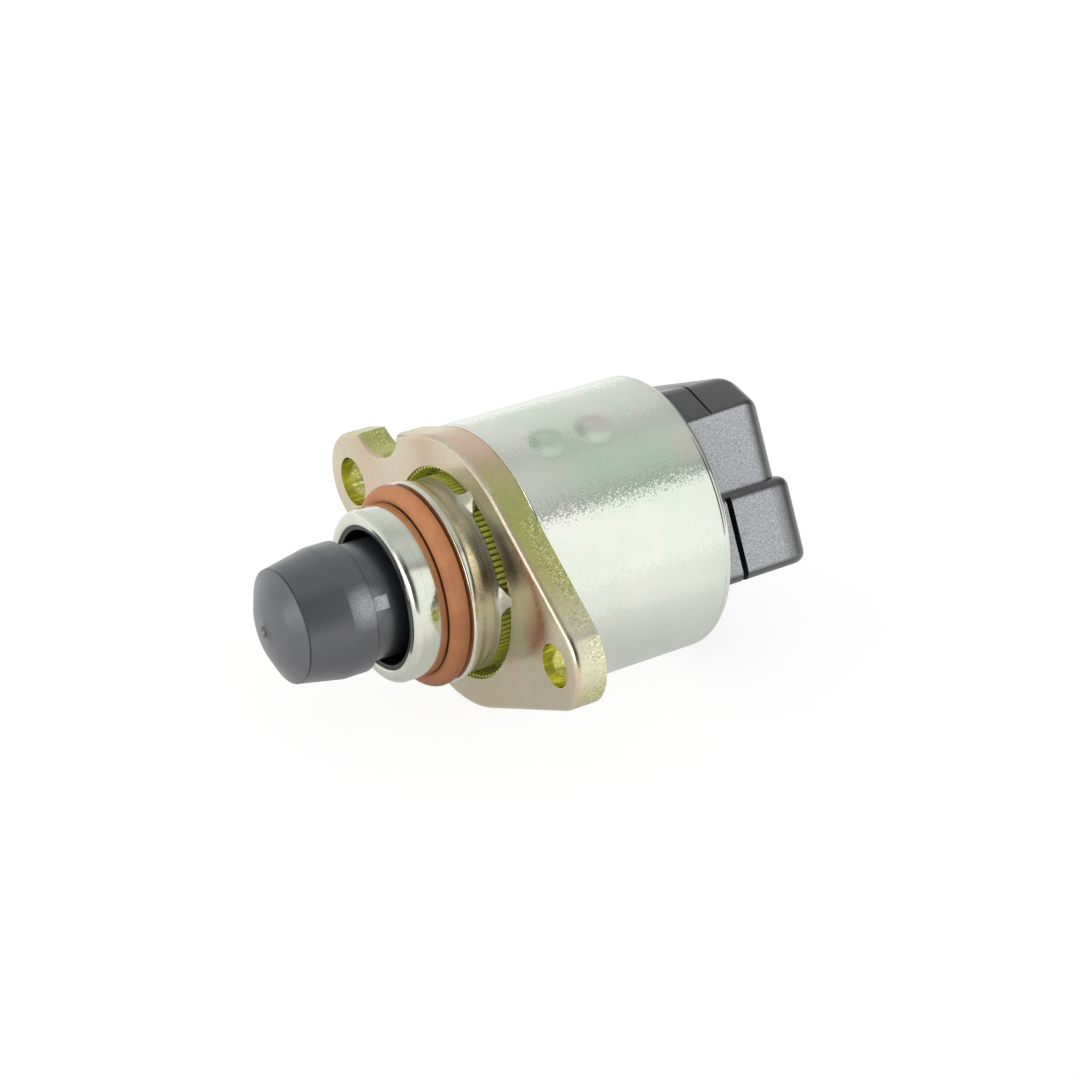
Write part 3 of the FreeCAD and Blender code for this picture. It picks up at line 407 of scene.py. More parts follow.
# Passivated zinc on the flange: mottled beige and pink faces, with painted brown reflections beside the neck,
# olive sheared edges that end in a torn and glittering zone, with a painted highlight at one ear's end, and
# yellow-green hole walls.
def flangeFinish(look):
    material, tree, shader = newMaterial("passivatedZinc", Metallic=1.0)
    broad = drifting(tree, look, "face pink grey", 170.0, 0.8, 0.6)
    speckle = drifting(tree, look, "face grey pink", 1500.0, 1.0, 0.9)
    face = tinted(tree, mixed(tree, 0.5, broad, speckle), look["faceTintsAndReflections"], 0.8)
    broad = drifting(tree, look, "olive yellow pink", 160.0, 0.9, 0.45)
    speckle = drifting(tree, look, "olive yellow moss", 900.0, 1.0, 0.9)
    edge = tinted(tree, mixed(tree, 0.4, broad, speckle), look["edgeTintsAndHighlight"], 3.0)
    side = placed(tree, sideFaces, low=0.2, high=0.5)["Mask"]
    colour = mixed(tree, side, face, edge)
    holes = [nearMask(tree, (look["middle"], y, 0), *look["holeReach"]) for y in look["holes"]]
    inHole = times(tree, mathNode(tree, "MAXIMUM", *holes), side)
    colour = mixed(tree, inHole, colour, drifting(tree, look, "hole holeDark yellow", 400.0, 0.7, 0.4))
    place = coords(tree)
    x, y = apart(tree, place)[:2]
    wander = times(tree, noiseAt(tree, place, 450.0), look["tornWander"] * mm)
    torn = times(tree, rampedOver(tree, plus(tree, x, wander), look["torn"]), side)
    torn = times(tree, torn, rampedOver(tree, mathNode(tree, "ABSOLUTE", y), look["tornFrom"]))
    torn = times(tree, torn, grainAt(tree, 300.0, 0.40, 0.56)["Mask"])
    pits = times(tree, flakesAt(tree, 5200.0, 0.25), torn)
    colour = mixed(tree, times(tree, pits, 0.6), colour, look["moss"])
    glitter = times(tree, flakesAt(tree, 6400.0, 0.20), torn)
    colour = mixed(tree, times(tree, glitter, 0.95), colour, look["glitter"])
    dots = grainAt(tree, 4200.0, 0.52, 0.66)["Mask"]
    colour = mixed(tree, times(tree, dots, look["dotTone"]), colour, look["dot"])
    grain, coarse = grainAt(tree, 2600.0, 0.35, 0.7), grainAt(tree, 420.0, 0.3, 0.7)
    base = ramped(tree, side, 0.0, 1.0, *look["roughness"])
    polished = times(tree, mathNode(tree, "MAXIMUM", glitter, inHole), look["polish"])
    rough = roughened(tree, grain["Mask"], look["roughSpread"], base)
    feed(tree, shader, colour, mathNode(tree, "SUBTRACT", rough, polished, clamp=True))
    bumped(tree, shader, (coarse["Height"], 0.05, 0.2), (grain["Height"], 0.014, 0.6))
    return material


zincLook = {
    "face": rgb(0.75, 0.67, 0.47), "pink": rgb(0.79, 0.56, 0.43), "grey": rgb(0.57, 0.62, 0.47),
    "dot": rgb(0.40, 0.34, 0.24), "olive": rgb(0.62, 0.60, 0.22), "yellow": rgb(0.80, 0.75, 0.26),
    "moss": rgb(0.34, 0.38, 0.12), "hole": rgb(0.70, 0.66, 0.16), "holeDark": rgb(0.36, 0.37, 0.06),
    "glitter": rgb(1.0, 0.99, 0.55), "dotTone": 0.32, "roughness": (0.16, 0.24), "roughSpread": 0.12,
    "polish": 0.17, "middle": -2, "holes": (22.9, -24.7), "holeReach": (3.6, 4.1),
    "torn": (0.2, -1.0), "tornFrom": (6, 12), "tornWander": 2.4,
    # The pale tint at the end of the ear, at y 28, is a painted highlight; the others are the zinc's own
    # colour.
    "edgeTintsAndHighlight": [
        ((-2, 1, 17), rgb(0.82, 0.58, 0.46), 0.85, 11), ((-2, -9, 15.5), rgb(0.80, 0.62, 0.50), 0.7, 11),
        ((-2, 12, 15), rgb(0.45, 0.52, 0.15), 0.6, 11), ((-2, -21, 5.5), rgb(0.52, 0.58, 0.18), 0.75, 11),
        ((-1.5, 28, 3.2), rgb(0.90, 0.90, 0.76), 0.8, 11), ((-2, 27, -5), rgb(0.66, 0.62, 0.30), 0.6, 11)],
    # The brown tints beside the neck paint dark reflections on the face; the others are the zinc's own
    # patches.
    "faceTintsAndReflections": [
        ((0, 19.4, 3.9), rgb(0.50, 0.28, 0.16), 0.75, 3.6), ((0, 18.4, 1), rgb(0.50, 0.28, 0.16), 0.65, 3.2),
        ((0, 15.7, 4.8), rgb(0.55, 0.43, 0.28), 0.55, 4.5), ((0, -6.8, 13.4), rgb(0.62, 0.42, 0.30), 0.7, 6),
        ((0, 22.4, 4.8), rgb(0.72, 0.72, 0.45), 0.5, 3), ((0, 9.4, -13.5), rgb(0.70, 0.62, 0.36), 0.6, 6),
        ((0, -22, 6), rgb(0.66, 0.48, 0.34), 0.55, 7), ((0, -18, -6), rgb(0.62, 0.58, 0.36), 0.5, 7)]}
zincSteel = flangeFinish(zincLook)


# Drawn can: pale zinc that turns pink and green in patches, with painted shade that greys it towards the
# back, and a fine crystal.
def canFinish(look):
    material, tree, shader = newMaterial("canZinc", Metallic=1.0)
    drift = drifting(tree, look, "pale green pink", 70.0, 0.3, 0.15)
    patchy = drifting(tree, look, "pale green pink", 230.0, 1.0, 0.8, shift=(0.02, 0.05, 0.01))
    stains = [(point, look[tint], look["stainTone"], reach) for point, tint, reach in look["stains"]]
    colour = tinted(tree, mixed(tree, 0.15, drift, patchy), stains, 0.8)
    along = axisPlace(tree)[0]
    # Painted shade: the colour darkens towards the rear edge.
    rearShade = rampedOver(tree, along, look["rearFrom"], 0.0, look["rearShadeTone"])
    colour = mixed(tree, rearShade, colour, look["rear"])
    grain = grainAt(tree, 6500.0, 0.42, 0.62)
    marks = turningMarks(tree, 900.0, 0.3)
    feed(tree, shader, colour, roughened(tree, grain["Mask"], look["grain"], look["roughness"]))
    lean = rampedOver(tree, along, look["leanFrom"], 0.0, look["lean"])
    facets = placed(tree, zincFacets, perMetre=look["facets"], lean=lean)["Normal"]
    bumped(tree, shader, (marks["Height"], 0.004, 0.3), base=facets)
    return material


canLook = {
    "pale": rgb(0.85, 0.87, 0.79), "green": rgb(0.58, 0.80, 0.60), "pink": rgb(0.84, 0.76, 0.70),
    "rear": rgb(0.66, 0.70, 0.62), "rearFrom": (-24, -28.5), "rearShadeTone": 0.35, "stainTone": 0.65,
    "stains": [((-14, 8.5, 15.3), "green", 8), ((-22, 9.5, 14.7), "green", 7.5),
               ((-10.5, 4.2, 17), "green", 3.4), ((-18.4, 2.2, 17.3), "pink", 1.6),
               ((-27, 9.5, 14.7), "pink", 2.4), ((-9, -15, 9), "green", 7), ((-22, -16, 7), "pink", 4),
               ((-12, -15, -9), "green", 6)],
    "grain": 0.05, "roughness": 0.07, "facets": 7000.0, "lean": 0.14, "leanFrom": (-28.4, -27)}
canZinc = canFinish(canLook)


# Turned nose: pale zinc with turning marks, warmer and rougher on its neck, where tints paint a dark
# reflection and a paler patch.
def noseFinish(name, look):
    material, tree, shader = newMaterial(name, Metallic=1.0)
    drift = drifting(tree, look, "pale beige green", 150.0, 0.6, 0.5)
    neck = tinted(tree, drifting(tree, look, "neck green beige", 190.0, 0.6, 0.6), look["tints"], 0.5)
    back = rampedOver(tree, axisPlace(tree)[0], look["neckFrom"])
    marks, grain = turningMarks(tree, 1700.0, 0.05), grainAt(tree, 3000.0, 0.4, 0.65)
    colour = mixed(tree, times(tree, marks["Mask"], 0.12), mixed(tree, back, drift, neck), look["dark"])
    rough = roughened(tree, grain["Mask"], 0.10, look["roughness"])
    feed(tree, shader, colour, roughened(tree, back, 0.10, rough))
    bumped(tree, shader, (marks["Height"], 0.006, 0.3), (grain["Height"], 0.004, 0.4))
    return material


noseLook = {
    "pale": rgb(0.80, 0.82, 0.72), "beige": rgb(0.76, 0.73, 0.61), "green": rgb(0.66, 0.71, 0.57),
    "neck": rgb(0.70, 0.69, 0.57), "dark": rgb(0.30, 0.29, 0.24), "roughness": 0.08, "neckFrom": (4.2, 3.4),
    # The dark tint on the neck is a painted reflection; the other tint is a paler patch above it.
    "tints": [((2.3, 10.6, 5.7), rgb(0.22, 0.17, 0.11), 0.85, 3.4),
              ((2.2, 7.0, 9.8), rgb(0.78, 0.82, 0.72), 0.6, 3)]}
# The collar's finish is a darker copy of the nose's, painted shade that dims the highlight on its webs; it is
# also rougher, and its dark tint is a painted reflection.
collarLook = {
    "pale": rgb(0.62, 0.62, 0.52), "beige": rgb(0.56, 0.54, 0.42), "green": rgb(0.52, 0.55, 0.42),
    "neck": rgb(0.56, 0.55, 0.44), "dark": rgb(0.24, 0.23, 0.18), "roughness": 0.24, "neckFrom": (4.2, 3.4),
    "tints": [((0.8, 10.6, 5.7), rgb(0.26, 0.22, 0.15), 0.8, 3)]}
turnedZinc = noseFinish("turnedZinc", noseLook)
stakedZinc = noseFinish("stakedZinc", collarLook)


# Teeth rolled into the walls of the gap, where the passivation stays a strong yellow-green; painted shade
# darkens the roots of the teeth.
def knurlFinish(look):
    material, tree, shader = newMaterial("knurlZinc", Metallic=0.25, Specular_IOR_Level=1.0)
    drift = drifting(tree, look, "bright deep olive", 500.0, 0.8, 0.6)
    radius = axisPlace(tree)[1]
    # Painted shade: the colour darkens at the roots of the teeth, towards the colour named root.
    rootShades = [rampedOver(tree, radius, look[wall]) for wall in ("inner", "outer")]
    drift = mixed(tree, times(tree, mathNode(tree, "MAXIMUM", *rootShades), 0.85), drift, look["root"])
    grain = grainAt(tree, 2500.0, 0.4, 0.65)
    feed(tree, shader, drift, roughened(tree, grain["Mask"], 0.15, look["roughness"]))
    bumped(tree, shader, (grain["Height"], 0.01, 0.5))
    return material


knurlLook = {"bright": rgb(0.94, 0.94, 0.16), "deep": rgb(0.66, 0.74, 0.14), "olive": rgb(0.82, 0.80, 0.28),
             "root": rgb(0.16, 0.20, 0.03), "inner": (11.9, 11.7), "outer": (13.1, 13.3), "roughness": 0.16}
knurlZinc = knurlFinish(knurlLook)


# Rubber of the O-ring: orange-brown, a little dusty.
def ringFinish(look):
    material, tree, shader = newMaterial("orangeRubber", Specular_IOR_Level=0.4)
    drift = drifting(tree, look, "main dark light", 260.0, 0.6, 0.35)
    grain = grainAt(tree, 3800.0, 0.4, 0.65)
    colour = mixed(tree, times(tree, flakesAt(tree, 5500.0, 0.06), 0.14), drift, look["dust"])
    feed(tree, shader, colour, roughened(tree, grain["Mask"], 0.2, look["roughness"]))
    bumped(tree, shader, (grain["Height"], 0.012, 0.4))
    return material


ringLook = {"main": rgb(0.64, 0.255, 0.105), "dark": rgb(0.52, 0.19, 0.078), "light": rgb(0.70, 0.33, 0.17),
            "dust": rgb(0.75, 0.55, 0.42), "roughness": 0.42}
orangeRubber = ringFinish(ringLook)


# The pintle's lug and a patch in front of it that ends at the cone, where a painted sheen makes the grain
# paler.
def lugAndBandSheen(tree, look):
    along, radius = axisPlace(tree)[:2]
    lug = times(tree, rampedOver(tree, radius, look["lugRadius"]), rampedOver(tree, along, look["lugFront"]))
    skirt = rampedOver(tree, along, look["coneFrom"], 0.0, 0.7)
    return mathNode(tree, "MAXIMUM", lug, times(tree, nearMask(tree, look["sheenPatchAt"], 0.6, 3.0), skirt))


# The connector's flat side walls, up to the rounding of its back, where a painted sheen makes the grain
# paler.
def flatWallSheen(tree, look):
    flat = placed(tree, facing, direction=look["flats"], low=0.93, high=0.999)["Mask"]
    return times(tree, flat, rampedOver(tree, axisPlace(tree)[0], look["flatsFrom"]))


# Moulded plastics: a dark body colour, a fine moulded grain and pale specks of glass fibre. A sheen mask
# names the places where the grain is painted paler, a painted sheen.
def plasticFinish(name, look, sheenMask=None):
    material, tree, shader = newMaterial(name, Specular_IOR_Level=look["sheen"], Coat_Weight=look["coat"],
                                         Coat_Roughness=look["coatRough"], Coat_IOR=2.0)
    colour = drifting(tree, look, "main light dark", look["patches"], 0.6, 0.5)
    if sheenMask:
        pores = grainAt(tree, look["grains"] * 1.15, 0.12, 0.66)["Mask"]
        colour = mixed(tree, times(tree, sheenMask(tree, look), pores), colour, look["paintedSheenTone"])
    fibre = flakesAt(tree, look["fibres"], look["fibreShare"])
    colour = mixed(tree, times(tree, fibre, look["fibreTone"]), colour, look["fibre"])
    grain, wave = grainAt(tree, look["grains"], 0.38, 0.64), grainAt(tree, 240.0, 0.3, 0.7)
    feed(tree, shader, colour, roughened(tree, grain["Mask"], look["roughSpread"], look["roughness"]))
    bumped(tree, shader, (wave["Height"], 0.03, 0.15), (grain["Height"], look["grainDeep"], 0.6))
    return material


# Both looks carry the tone of a painted sheen: on the pintle's lug and band patch, on the connector's flat
# walls.
pintleLook = {
    "main": rgb(0.026, 0.028, 0.038), "light": rgb(0.036, 0.039, 0.050), "dark": rgb(0.020, 0.021, 0.028),
    "paintedSheenTone": rgb(0.62, 0.63, 0.67), "lugRadius": (7.45, 7.5), "lugFront": (14.62, 14.58),
    "coneFrom": (17.75, 17.65),
    "sheenPatchAt": (15.6, 6.95, 4.15), "fibre": rgb(0.09, 0.09, 0.10), "patches": 120.0, "fibres": 6500.0,
    "fibreShare": 0.04, "fibreTone": 0.3, "grains": 5200.0, "grainDeep": 0.012, "roughness": 0.34,
    "roughSpread": 0.10, "sheen": 1.0, "coat": 0.55, "coatRough": 0.27}
# The pale tone on the connector's flat walls is a painted sheen.
connectorLook = {
    "main": rgb(0.026, 0.026, 0.027), "light": rgb(0.036, 0.036, 0.037), "dark": rgb(0.018, 0.018, 0.019),
    "paintedSheenTone": rgb(0.70, 0.705, 0.75), "flats": (0.0, 0.870, 0.492), "flatsFrom": (-40, -37.5),
    "fibre": rgb(0.22, 0.22, 0.235), "patches": 160.0, "fibres": 4200.0, "fibreShare": 0.05,
    "fibreTone": 0.12, "grains": 4600.0, "grainDeep": 0.06, "roughness": 0.32, "roughSpread": 0.12,
    "sheen": 0.6, "coat": 0.5, "coatRough": 0.22}
pintlePlastic = plasticFinish("pintleResin", pintleLook, lugAndBandSheen)
connectorPlastic = plasticFinish("connectorResin", connectorLook, flatWallSheen)

# Plastics and rubber inside, as rows of the settings named first.
plasticSettings = "main light dark fibre patches fibres fibreShare fibreTone grains grainDeep roughness " \
                  "roughSpread sheen coat coatRough"
innerPlastics = {
    "sleeveResin": (
        rgb(0.018, 0.018, 0.019), rgb(0.028, 0.028, 0.03), rgb(0.012, 0.012, 0.012), rgb(0.1, 0.1, 0.1),
        160.0, 5000.0, 0.03, 0.4, 4000.0, 0.006, 0.35, 0.12, 0.5, 0.0, 0.3),
    "bobbinResin": (
        rgb(0.62, 0.60, 0.55), rgb(0.70, 0.68, 0.62), rgb(0.50, 0.48, 0.43), rgb(0.85, 0.83, 0.78),
        140.0, 3800.0, 0.05, 0.4, 3500.0, 0.008, 0.42, 0.14, 0.5, 0.0, 0.3),
    "sealRubber": (
        rgb(0.05, 0.05, 0.048), rgb(0.07, 0.07, 0.066), rgb(0.035, 0.035, 0.033), rgb(0.2, 0.2, 0.19),
        300.0, 5000.0, 0.03, 0.3, 4200.0, 0.012, 0.62, 0.16, 0.3, 0.0, 0.3)}
for name, row in innerPlastics.items():
    plasticFinish(name, dict(zip(plasticSettings.split(), row)))


# Metals inside: one recipe, and rows of the settings named before them.
def metalFinish(name, look):
    material, tree, shader = newMaterial(name, Metallic=look["metallic"])
    drift = drifting(tree, look, "main second third", look["patches"], 0.7, 0.5)
    marks, grain = turningMarks(tree, look["marks"], 0.05), grainAt(tree, 3200.0, 0.4, 0.65)
    colour = mixed(tree, times(tree, marks["Mask"], look["markTone"]), drift, look["third"])
    feed(tree, shader, colour, roughened(tree, grain["Mask"], 0.14, look["roughness"]))
    bumped(tree, shader, (marks["Height"], look["markDeep"], 0.6), (grain["Height"], 0.005, 0.5))


metalSettings = "main second third patches marks markTone markDeep roughness metallic"
innerMetals = {
    "bearingSteel": (rgb(0.62, 0.62, 0.62), rgb(0.68, 0.68, 0.67), rgb(0.42, 0.42, 0.43),
                     200.0, 4000.0, 0.3, 0.003, 0.16, 1.0),
    "springSteel": (rgb(0.48, 0.47, 0.45), rgb(0.55, 0.50, 0.42), rgb(0.32, 0.33, 0.38),
                    260.0, 2500.0, 0.25, 0.003, 0.24, 1.0),
    "statorSteel": (rgb(0.56, 0.56, 0.54), rgb(0.64, 0.62, 0.56), rgb(0.40, 0.39, 0.37),
                    160.0, 1500.0, 0.2, 0.003, 0.3, 1.0),
    "magnetFerrite": (rgb(0.055, 0.055, 0.060), rgb(0.075, 0.072, 0.072), rgb(0.035, 0.035, 0.038),
                      300.0, 3000.0, 0.4, 0.004, 0.46, 0.2),
    "copperWire": (rgb(0.72, 0.30, 0.13), rgb(0.80, 0.38, 0.18), rgb(0.42, 0.14, 0.06),
                   220.0, 3400.0, 0.7, 0.06, 0.28, 0.9),
    "sinteredBronze": (rgb(0.58, 0.38, 0.19), rgb(0.66, 0.46, 0.26), rgb(0.36, 0.22, 0.11),
                       320.0, 2000.0, 0.3, 0.006, 0.36, 1.0),
    "turnedBrass": (rgb(0.76, 0.56, 0.24), rgb(0.82, 0.64, 0.33), rgb(0.50, 0.35, 0.14),
                    240.0, 2600.0, 0.3, 0.005, 0.22, 1.0),
    "tinPlate": (rgb(0.70, 0.69, 0.66), rgb(0.76, 0.72, 0.62), rgb(0.50, 0.49, 0.47),
                 420.0, 1800.0, 0.2, 0.003, 0.2, 1.0)}
for name, row in innerMetals.items():
    metalFinish(name, dict(zip(metalSettings.split(), row)))
print("finishes ready")

# Flange: the outline is what a band drawn tight around its two ears and its middle would give.
flangeShape = {
    "rounds": [(0, 17.2, 220), (21.4, 6.4, 120), (-24.5, 6.3, 120)], "thick": 4.0, "frontEdge": 0.8,
    "notch": (-20.4, 12.9, 6.3), "bores": [(0, 13.35, 200), (22.9, 2.65, 72), (-24.7, 3.15, 72)],
    "notchSteps": 120, "through": (-6, 2), "edge": 0.13, "edgeSegments": 2}


def onlyVerts(geom):
    return [part for part in geom if isinstance(part, bmesh.types.BMVert)]


def makeFlange(shape):
    bm = bmesh.new()
    for y, radius, steps in shape["rounds"]:
        made = bmesh.ops.create_circle(bm, cap_ends=False, radius=radius * mm, segments=steps,
                                       matrix=alongX)["verts"]
        moveBy(bm, made, 0, y, 0)
    hull = bmesh.ops.convex_hull(bm, input=bm.verts[:])
    inside = set(hull["geom_interior"] + hull["geom_unused"])
    bmesh.ops.delete(bm, geom=onlyVerts(inside), context="VERTS")
    bmesh.ops.dissolve_limit(bm, angle_limit=math.radians(1), verts=bm.verts[:], edges=bm.edges[:])
    plate = bmesh.ops.extrude_face_region(bm, geom=bm.faces[:])["geom"]
    moveBy(bm, onlyVerts(plate), -shape["thick"], 0, 0)
    faceOutward(bm)
    bm = cutOut(bm, [rodAt(*shape["notch"], *shape["through"], shape["notchSteps"])])
    front = [e for e in bm.edges if all(abs(v.co.x) < 1e-6 for v in e.verts) and e.calc_face_angle(0) > 1.2]
    bevelEdges(bm, front, shape["frontEdge"], 5)
    bm = cutOut(bm, [rodAt(y, 0, radius, *shape["through"], steps) for y, radius, steps in shape["bores"]])
    piece = finishPiece("mountingFlange", bm, zincSteel, "housing", ["mounting_flange"])
    bevel = piece.modifiers.new("brokenEdges", "BEVEL")
    bevel.limit_method, bevel.angle_limit = "ANGLE", math.radians(50)
    bevel.width, bevel.segments, bevel.use_clamp_overlap = shape["edge"] * mm, shape["edgeSegments"], True
    bevel.harden_normals = True


makeFlange(flangeShape)

# Nose tube; its neck flares out to the collar, which is staked over the flange in four narrow webs.
noseShape = {
    "profile": [(11.2, 8.95), (11.2, 10.7), (7.0, 10.7), (7.0, 10.1), (4.5, 10.1), (4.5, 12.55),
                (4.0, 12.55), (3.75, 12.52), (3.5, 12.45), (3.2, 12.34), (2.9, 12.23), (2.6, 12.13),
                (2.2, 12.04), (1.5, 11.98), (1.35, 11.6), (-2.8, 11.6), (-2.8, 13.33), (-4.0, 13.33),
                (-4.0, 11.5), (-8.7, 11.5), (-8.7, 8.0), (-3.9, 8.0), (-3.9, 6.5), (-3.0, 6.5), (-3.0, 8.95)],
    "bevels": [(11.2, 10.7, 1.0, 8), (11.2, 8.95, 0.25, 3), (7.0, 10.7, 0.12, 2), (4.5, 12.55, 0.2, 3),
               (-4.0, 13.33, 0.2, 2), (-8.7, 11.5, 0.25, 2), (-8.7, 8.0, 0.2, 2)],
    "lip": [(1.5, 11.98), (1.28, 11.98), (1.08, 11.985), (0.92, 11.99), (0.78, 12.0), (0.66, 12.02),
            (0.56, 12.05), (0.49, 12.06), (0.45, 12.02), (0.45, 11.8), (0.5, 11.5), (1.5, 11.5)],
    "web": [(1.5, 11.98), (1.3, 11.99), (1.12, 12.02), (0.96, 12.08), (0.8, 12.2), (0.62, 12.42),
            (0.42, 12.78), (0.2, 13.3), (-0.02, 13.85), (-1.5, 13.6), (-1.5, 11.5), (1.5, 11.5)],
    "webTurns": (14.0, 73.5, 194.0, 253.5), "webHalf": 1.8, "webReach": 10.5, "webFade": 2.4}


def makeNose(shape):
    bm = turnedShape(shape["profile"], shape["bevels"], steps=192)
    finishPiece("noseTube", bm, turnedZinc, "housing", ["nose_tube"])


# The collar's front edge: each point of the lip's section moves towards its place in the web's section, the
# nearer to a web the further.
def makeCollar(shape):
    bm = turnedShape(shape["lip"], steps=720)
    targets = [(Vector(start), Vector(end) - Vector(start)) for start, end in zip(shape["lip"], shape["web"])]
    for v in bm.verts:
        radius, turn = fromAxis(v), math.degrees(math.atan2(v.co.z, v.co.y))
        away = min(abs((turn - web + 180) % 360 - 180) for web in shape["webTurns"])
        near = 1 - min(1, max(0, (away - shape["webHalf"]) / shape["webReach"]))
        here = Vector((v.co.x, radius)) / mm
        step = min(targets, key=lambda pair: (pair[0] - here).length)[1] * near ** shape["webFade"]
        v.co.x += step.x * mm
        grown = (radius + step.y * mm) / radius
        v.co.y, v.co.z = v.co.y * grown, v.co.z * grown
    faceOutward(bm)
    finishPiece("collarFront", bm, stakedZinc, "housing", sharp=70.0)


makeNose(noseShape)
makeCollar(noseShape)

# Teeth rolled into both walls of the gap around the collar, as (root, tip) radii.
knurlShape = {"teeth": 100, "points": 10, "collar": (11.62, 12.04), "bore": (13.37, 12.98), "back": -2.78,
              "collarFront": 0.5, "boreFront": -0.35, "wall": 0.02}


# A ring of round teeth: the points of a circle swing between root and tip, and the ring is closed behind.
def makeKnurl(name, shape, wall, front):
    root, tip = wall
    count = shape["teeth"] * shape["points"]
    bm = bmesh.new()
    made = bmesh.ops.create_circle(bm, cap_ends=False, radius=tip * mm, segments=count,
                                   matrix=alongX)["verts"]
    moveBy(bm, made, front, 0, 0)
    for v in made:
        swing = abs(math.sin(math.atan2(v.co.z, v.co.y) * shape["teeth"] / 2))
        radius = (root + (tip - root) * swing) / tip
        v.co.y, v.co.z = v.co.y * radius, v.co.z * radius
    teeth = bmesh.ops.extrude_edge_only(bm, edges=bm.edges[:])["geom"]
    moveBy(bm, onlyVerts(teeth), shape["back"] - front, 0, 0)
    rims = [[e for e in bm.edges if all(abs(v.co.x - x * mm) < 1e-6 for v in e.verts)]
            for x in (front, shape["back"])]
    behind = root + math.copysign(shape["wall"], root - tip)
    for rim in rims:
        for v in onlyVerts(bmesh.ops.extrude_edge_only(bm, edges=rim)["geom"]):
            radius = fromAxis(v)
            v.co.y, v.co.z = v.co.y / radius * behind * mm, v.co.z / radius * behind * mm
    bmesh.ops.bridge_loops(bm, edges=[e for e in bm.edges if len(e.link_faces) == 1])
    faceOutward(bm)
    finishPiece(name, bm, knurlZinc, "housing", sharp=50.0)


makeKnurl("collarKnurl", knurlShape, knurlShape["collar"], knurlShape["collarFront"])
makeKnurl("boreKnurl", knurlShape, knurlShape["bore"], knurlShape["boreFront"])

# O-ring in its groove.
oRingShape = {"x": 5.75, "radius": 11.3, "wire": 1.2, "around": 180, "section": 36}


def makeORing(shape):
    bm = bmesh.new()
    bmesh.ops.create_circle(bm, cap_ends=False, radius=shape["wire"] * mm, segments=shape["section"])
    moveBy(bm, bm.verts[:], shape["x"], shape["radius"], 0)
    bmesh.ops.spin(bm, geom=bm.verts[:] + bm.edges[:], axis=(1, 0, 0), cent=(0, 0, 0), angle=math.tau,
                   steps=shape["around"], use_merge=True, use_duplicate=False)
    faceOutward(bm)
    finishPiece("sealRing", bm, orangeRubber, "housing", ["mounting_o_ring"])


makeORing(oRingShape)

# Drawn can with its rolled back edge, and three pairs of shallow dents.
canShape = {
    "profile": [(-4.0, 11.55), (-4.0, 17.5), (-27.9, 17.5), (-28.02, 17.42), (-28.14, 17.5), (-29.0, 17.46),
                (-29.0, 15.9), (-28.2, 15.9), (-28.2, 16.5), (-5.0, 16.5), (-5.0, 11.55)],
    "bevels": [(-4.0, 17.5, 0.22, 4), (-29.0, 17.46, 0.7, 6), (-29.0, 15.9, 0.2, 2)],
    "wallCuts": 60, "rows": (-10.5, -17.0), "turns": (77.5, 197.5, 317.5), "dentReach": 2.8,
    "dentDepth": 0.5}


def makeCan(shape):
    bm = turnedShape(shape["profile"], shape["bevels"], steps=240)
    outer = max(radius for x, radius in shape["profile"])
    wall = [e for e in bm.edges if abs(e.verts[0].co.x - e.verts[1].co.x) > 20 * mm
            and min(fromAxis(v) for v in e.verts) > (outer - 0.1) * mm]
    bmesh.ops.subdivide_edges(bm, edges=wall, cuts=shape["wallCuts"], use_grid_fill=True)
    for turn in shape["turns"]:
        for x in shape["rows"]:
            turned = math.radians(turn)
            centre = Vector((x, outer * math.cos(turned), outer * math.sin(turned))) * mm
            for v in bm.verts:
                away = (v.co - centre).length / (shape["dentReach"] * mm)
                if away < 1 and fromAxis(v) > (outer - 0.3) * mm:
                    sink = shape["dentDepth"] * mm * (1 - away * away) ** 2
                    v.co += Vector((0, -v.co.y, -v.co.z)).normalized() * sink
    finishPiece("canShell", bm, canZinc, "housing", ["can_housing"])


makeCan(canShape)

# Pintle head: cone with a crease at its tip, domed end with its gate dimple, hollow skirt and two lugs.
pintleShape = {
    "profile": [(25.2, 0), (25.2, 0.45), (25.42, 0.6), (25.56, 0.8), (25.53, 1.0), (25.46, 1.1),
                (25.36, 1.9), (25.08, 3.2), (24.62, 4.6), (24.0, 5.75), (23.35, 7.0), (23.3, 6.9),
                (23.16, 6.9), (23.08, 7.05), (17.7, 8.1), (14.6, 8.1), (14.6, 7.2), (7.9, 7.2), (7.9, 5.8),
                (13.2, 5.8), (13.2, 3.8), (8.9, 3.8), (8.9, 2.5), (17.0, 2.5), (17.0, 0)],
    "bevels": [(24.0, 5.75, 0.9, 8), (17.7, 8.1, 0.2, 2), (14.6, 8.1, 0.3, 4), (7.9, 7.2, 0.15, 2),
               (7.9, 5.8, 0.15, 2)],
    "lug": [(12.65, 6.9), (12.65, 7.75), (14.6, 7.75), (14.6, 6.9)], "lugArc": 13.0,
    "lugTurns": (30.6, 210.6), "lugEdge": 0.12}


def makePintle(shape):
    bm = turnedShape(shape["profile"], shape["bevels"], steps=160)
    for turn in shape["lugTurns"]:
        lug = turnedShape(shape["lug"], steps=6, arc=shape["lugArc"], start=turn - shape["lugArc"] / 2)
        bevelEdges(lug, [e for e in lug.edges if e.calc_face_angle(0) > 0.8], shape["lugEdge"], 2, clamp=True)
        joinShape(bm, lug)
    finishPiece("pintleHead", bm, pintlePlastic, "plunger", ["pintle"])


makePintle(pintleShape)

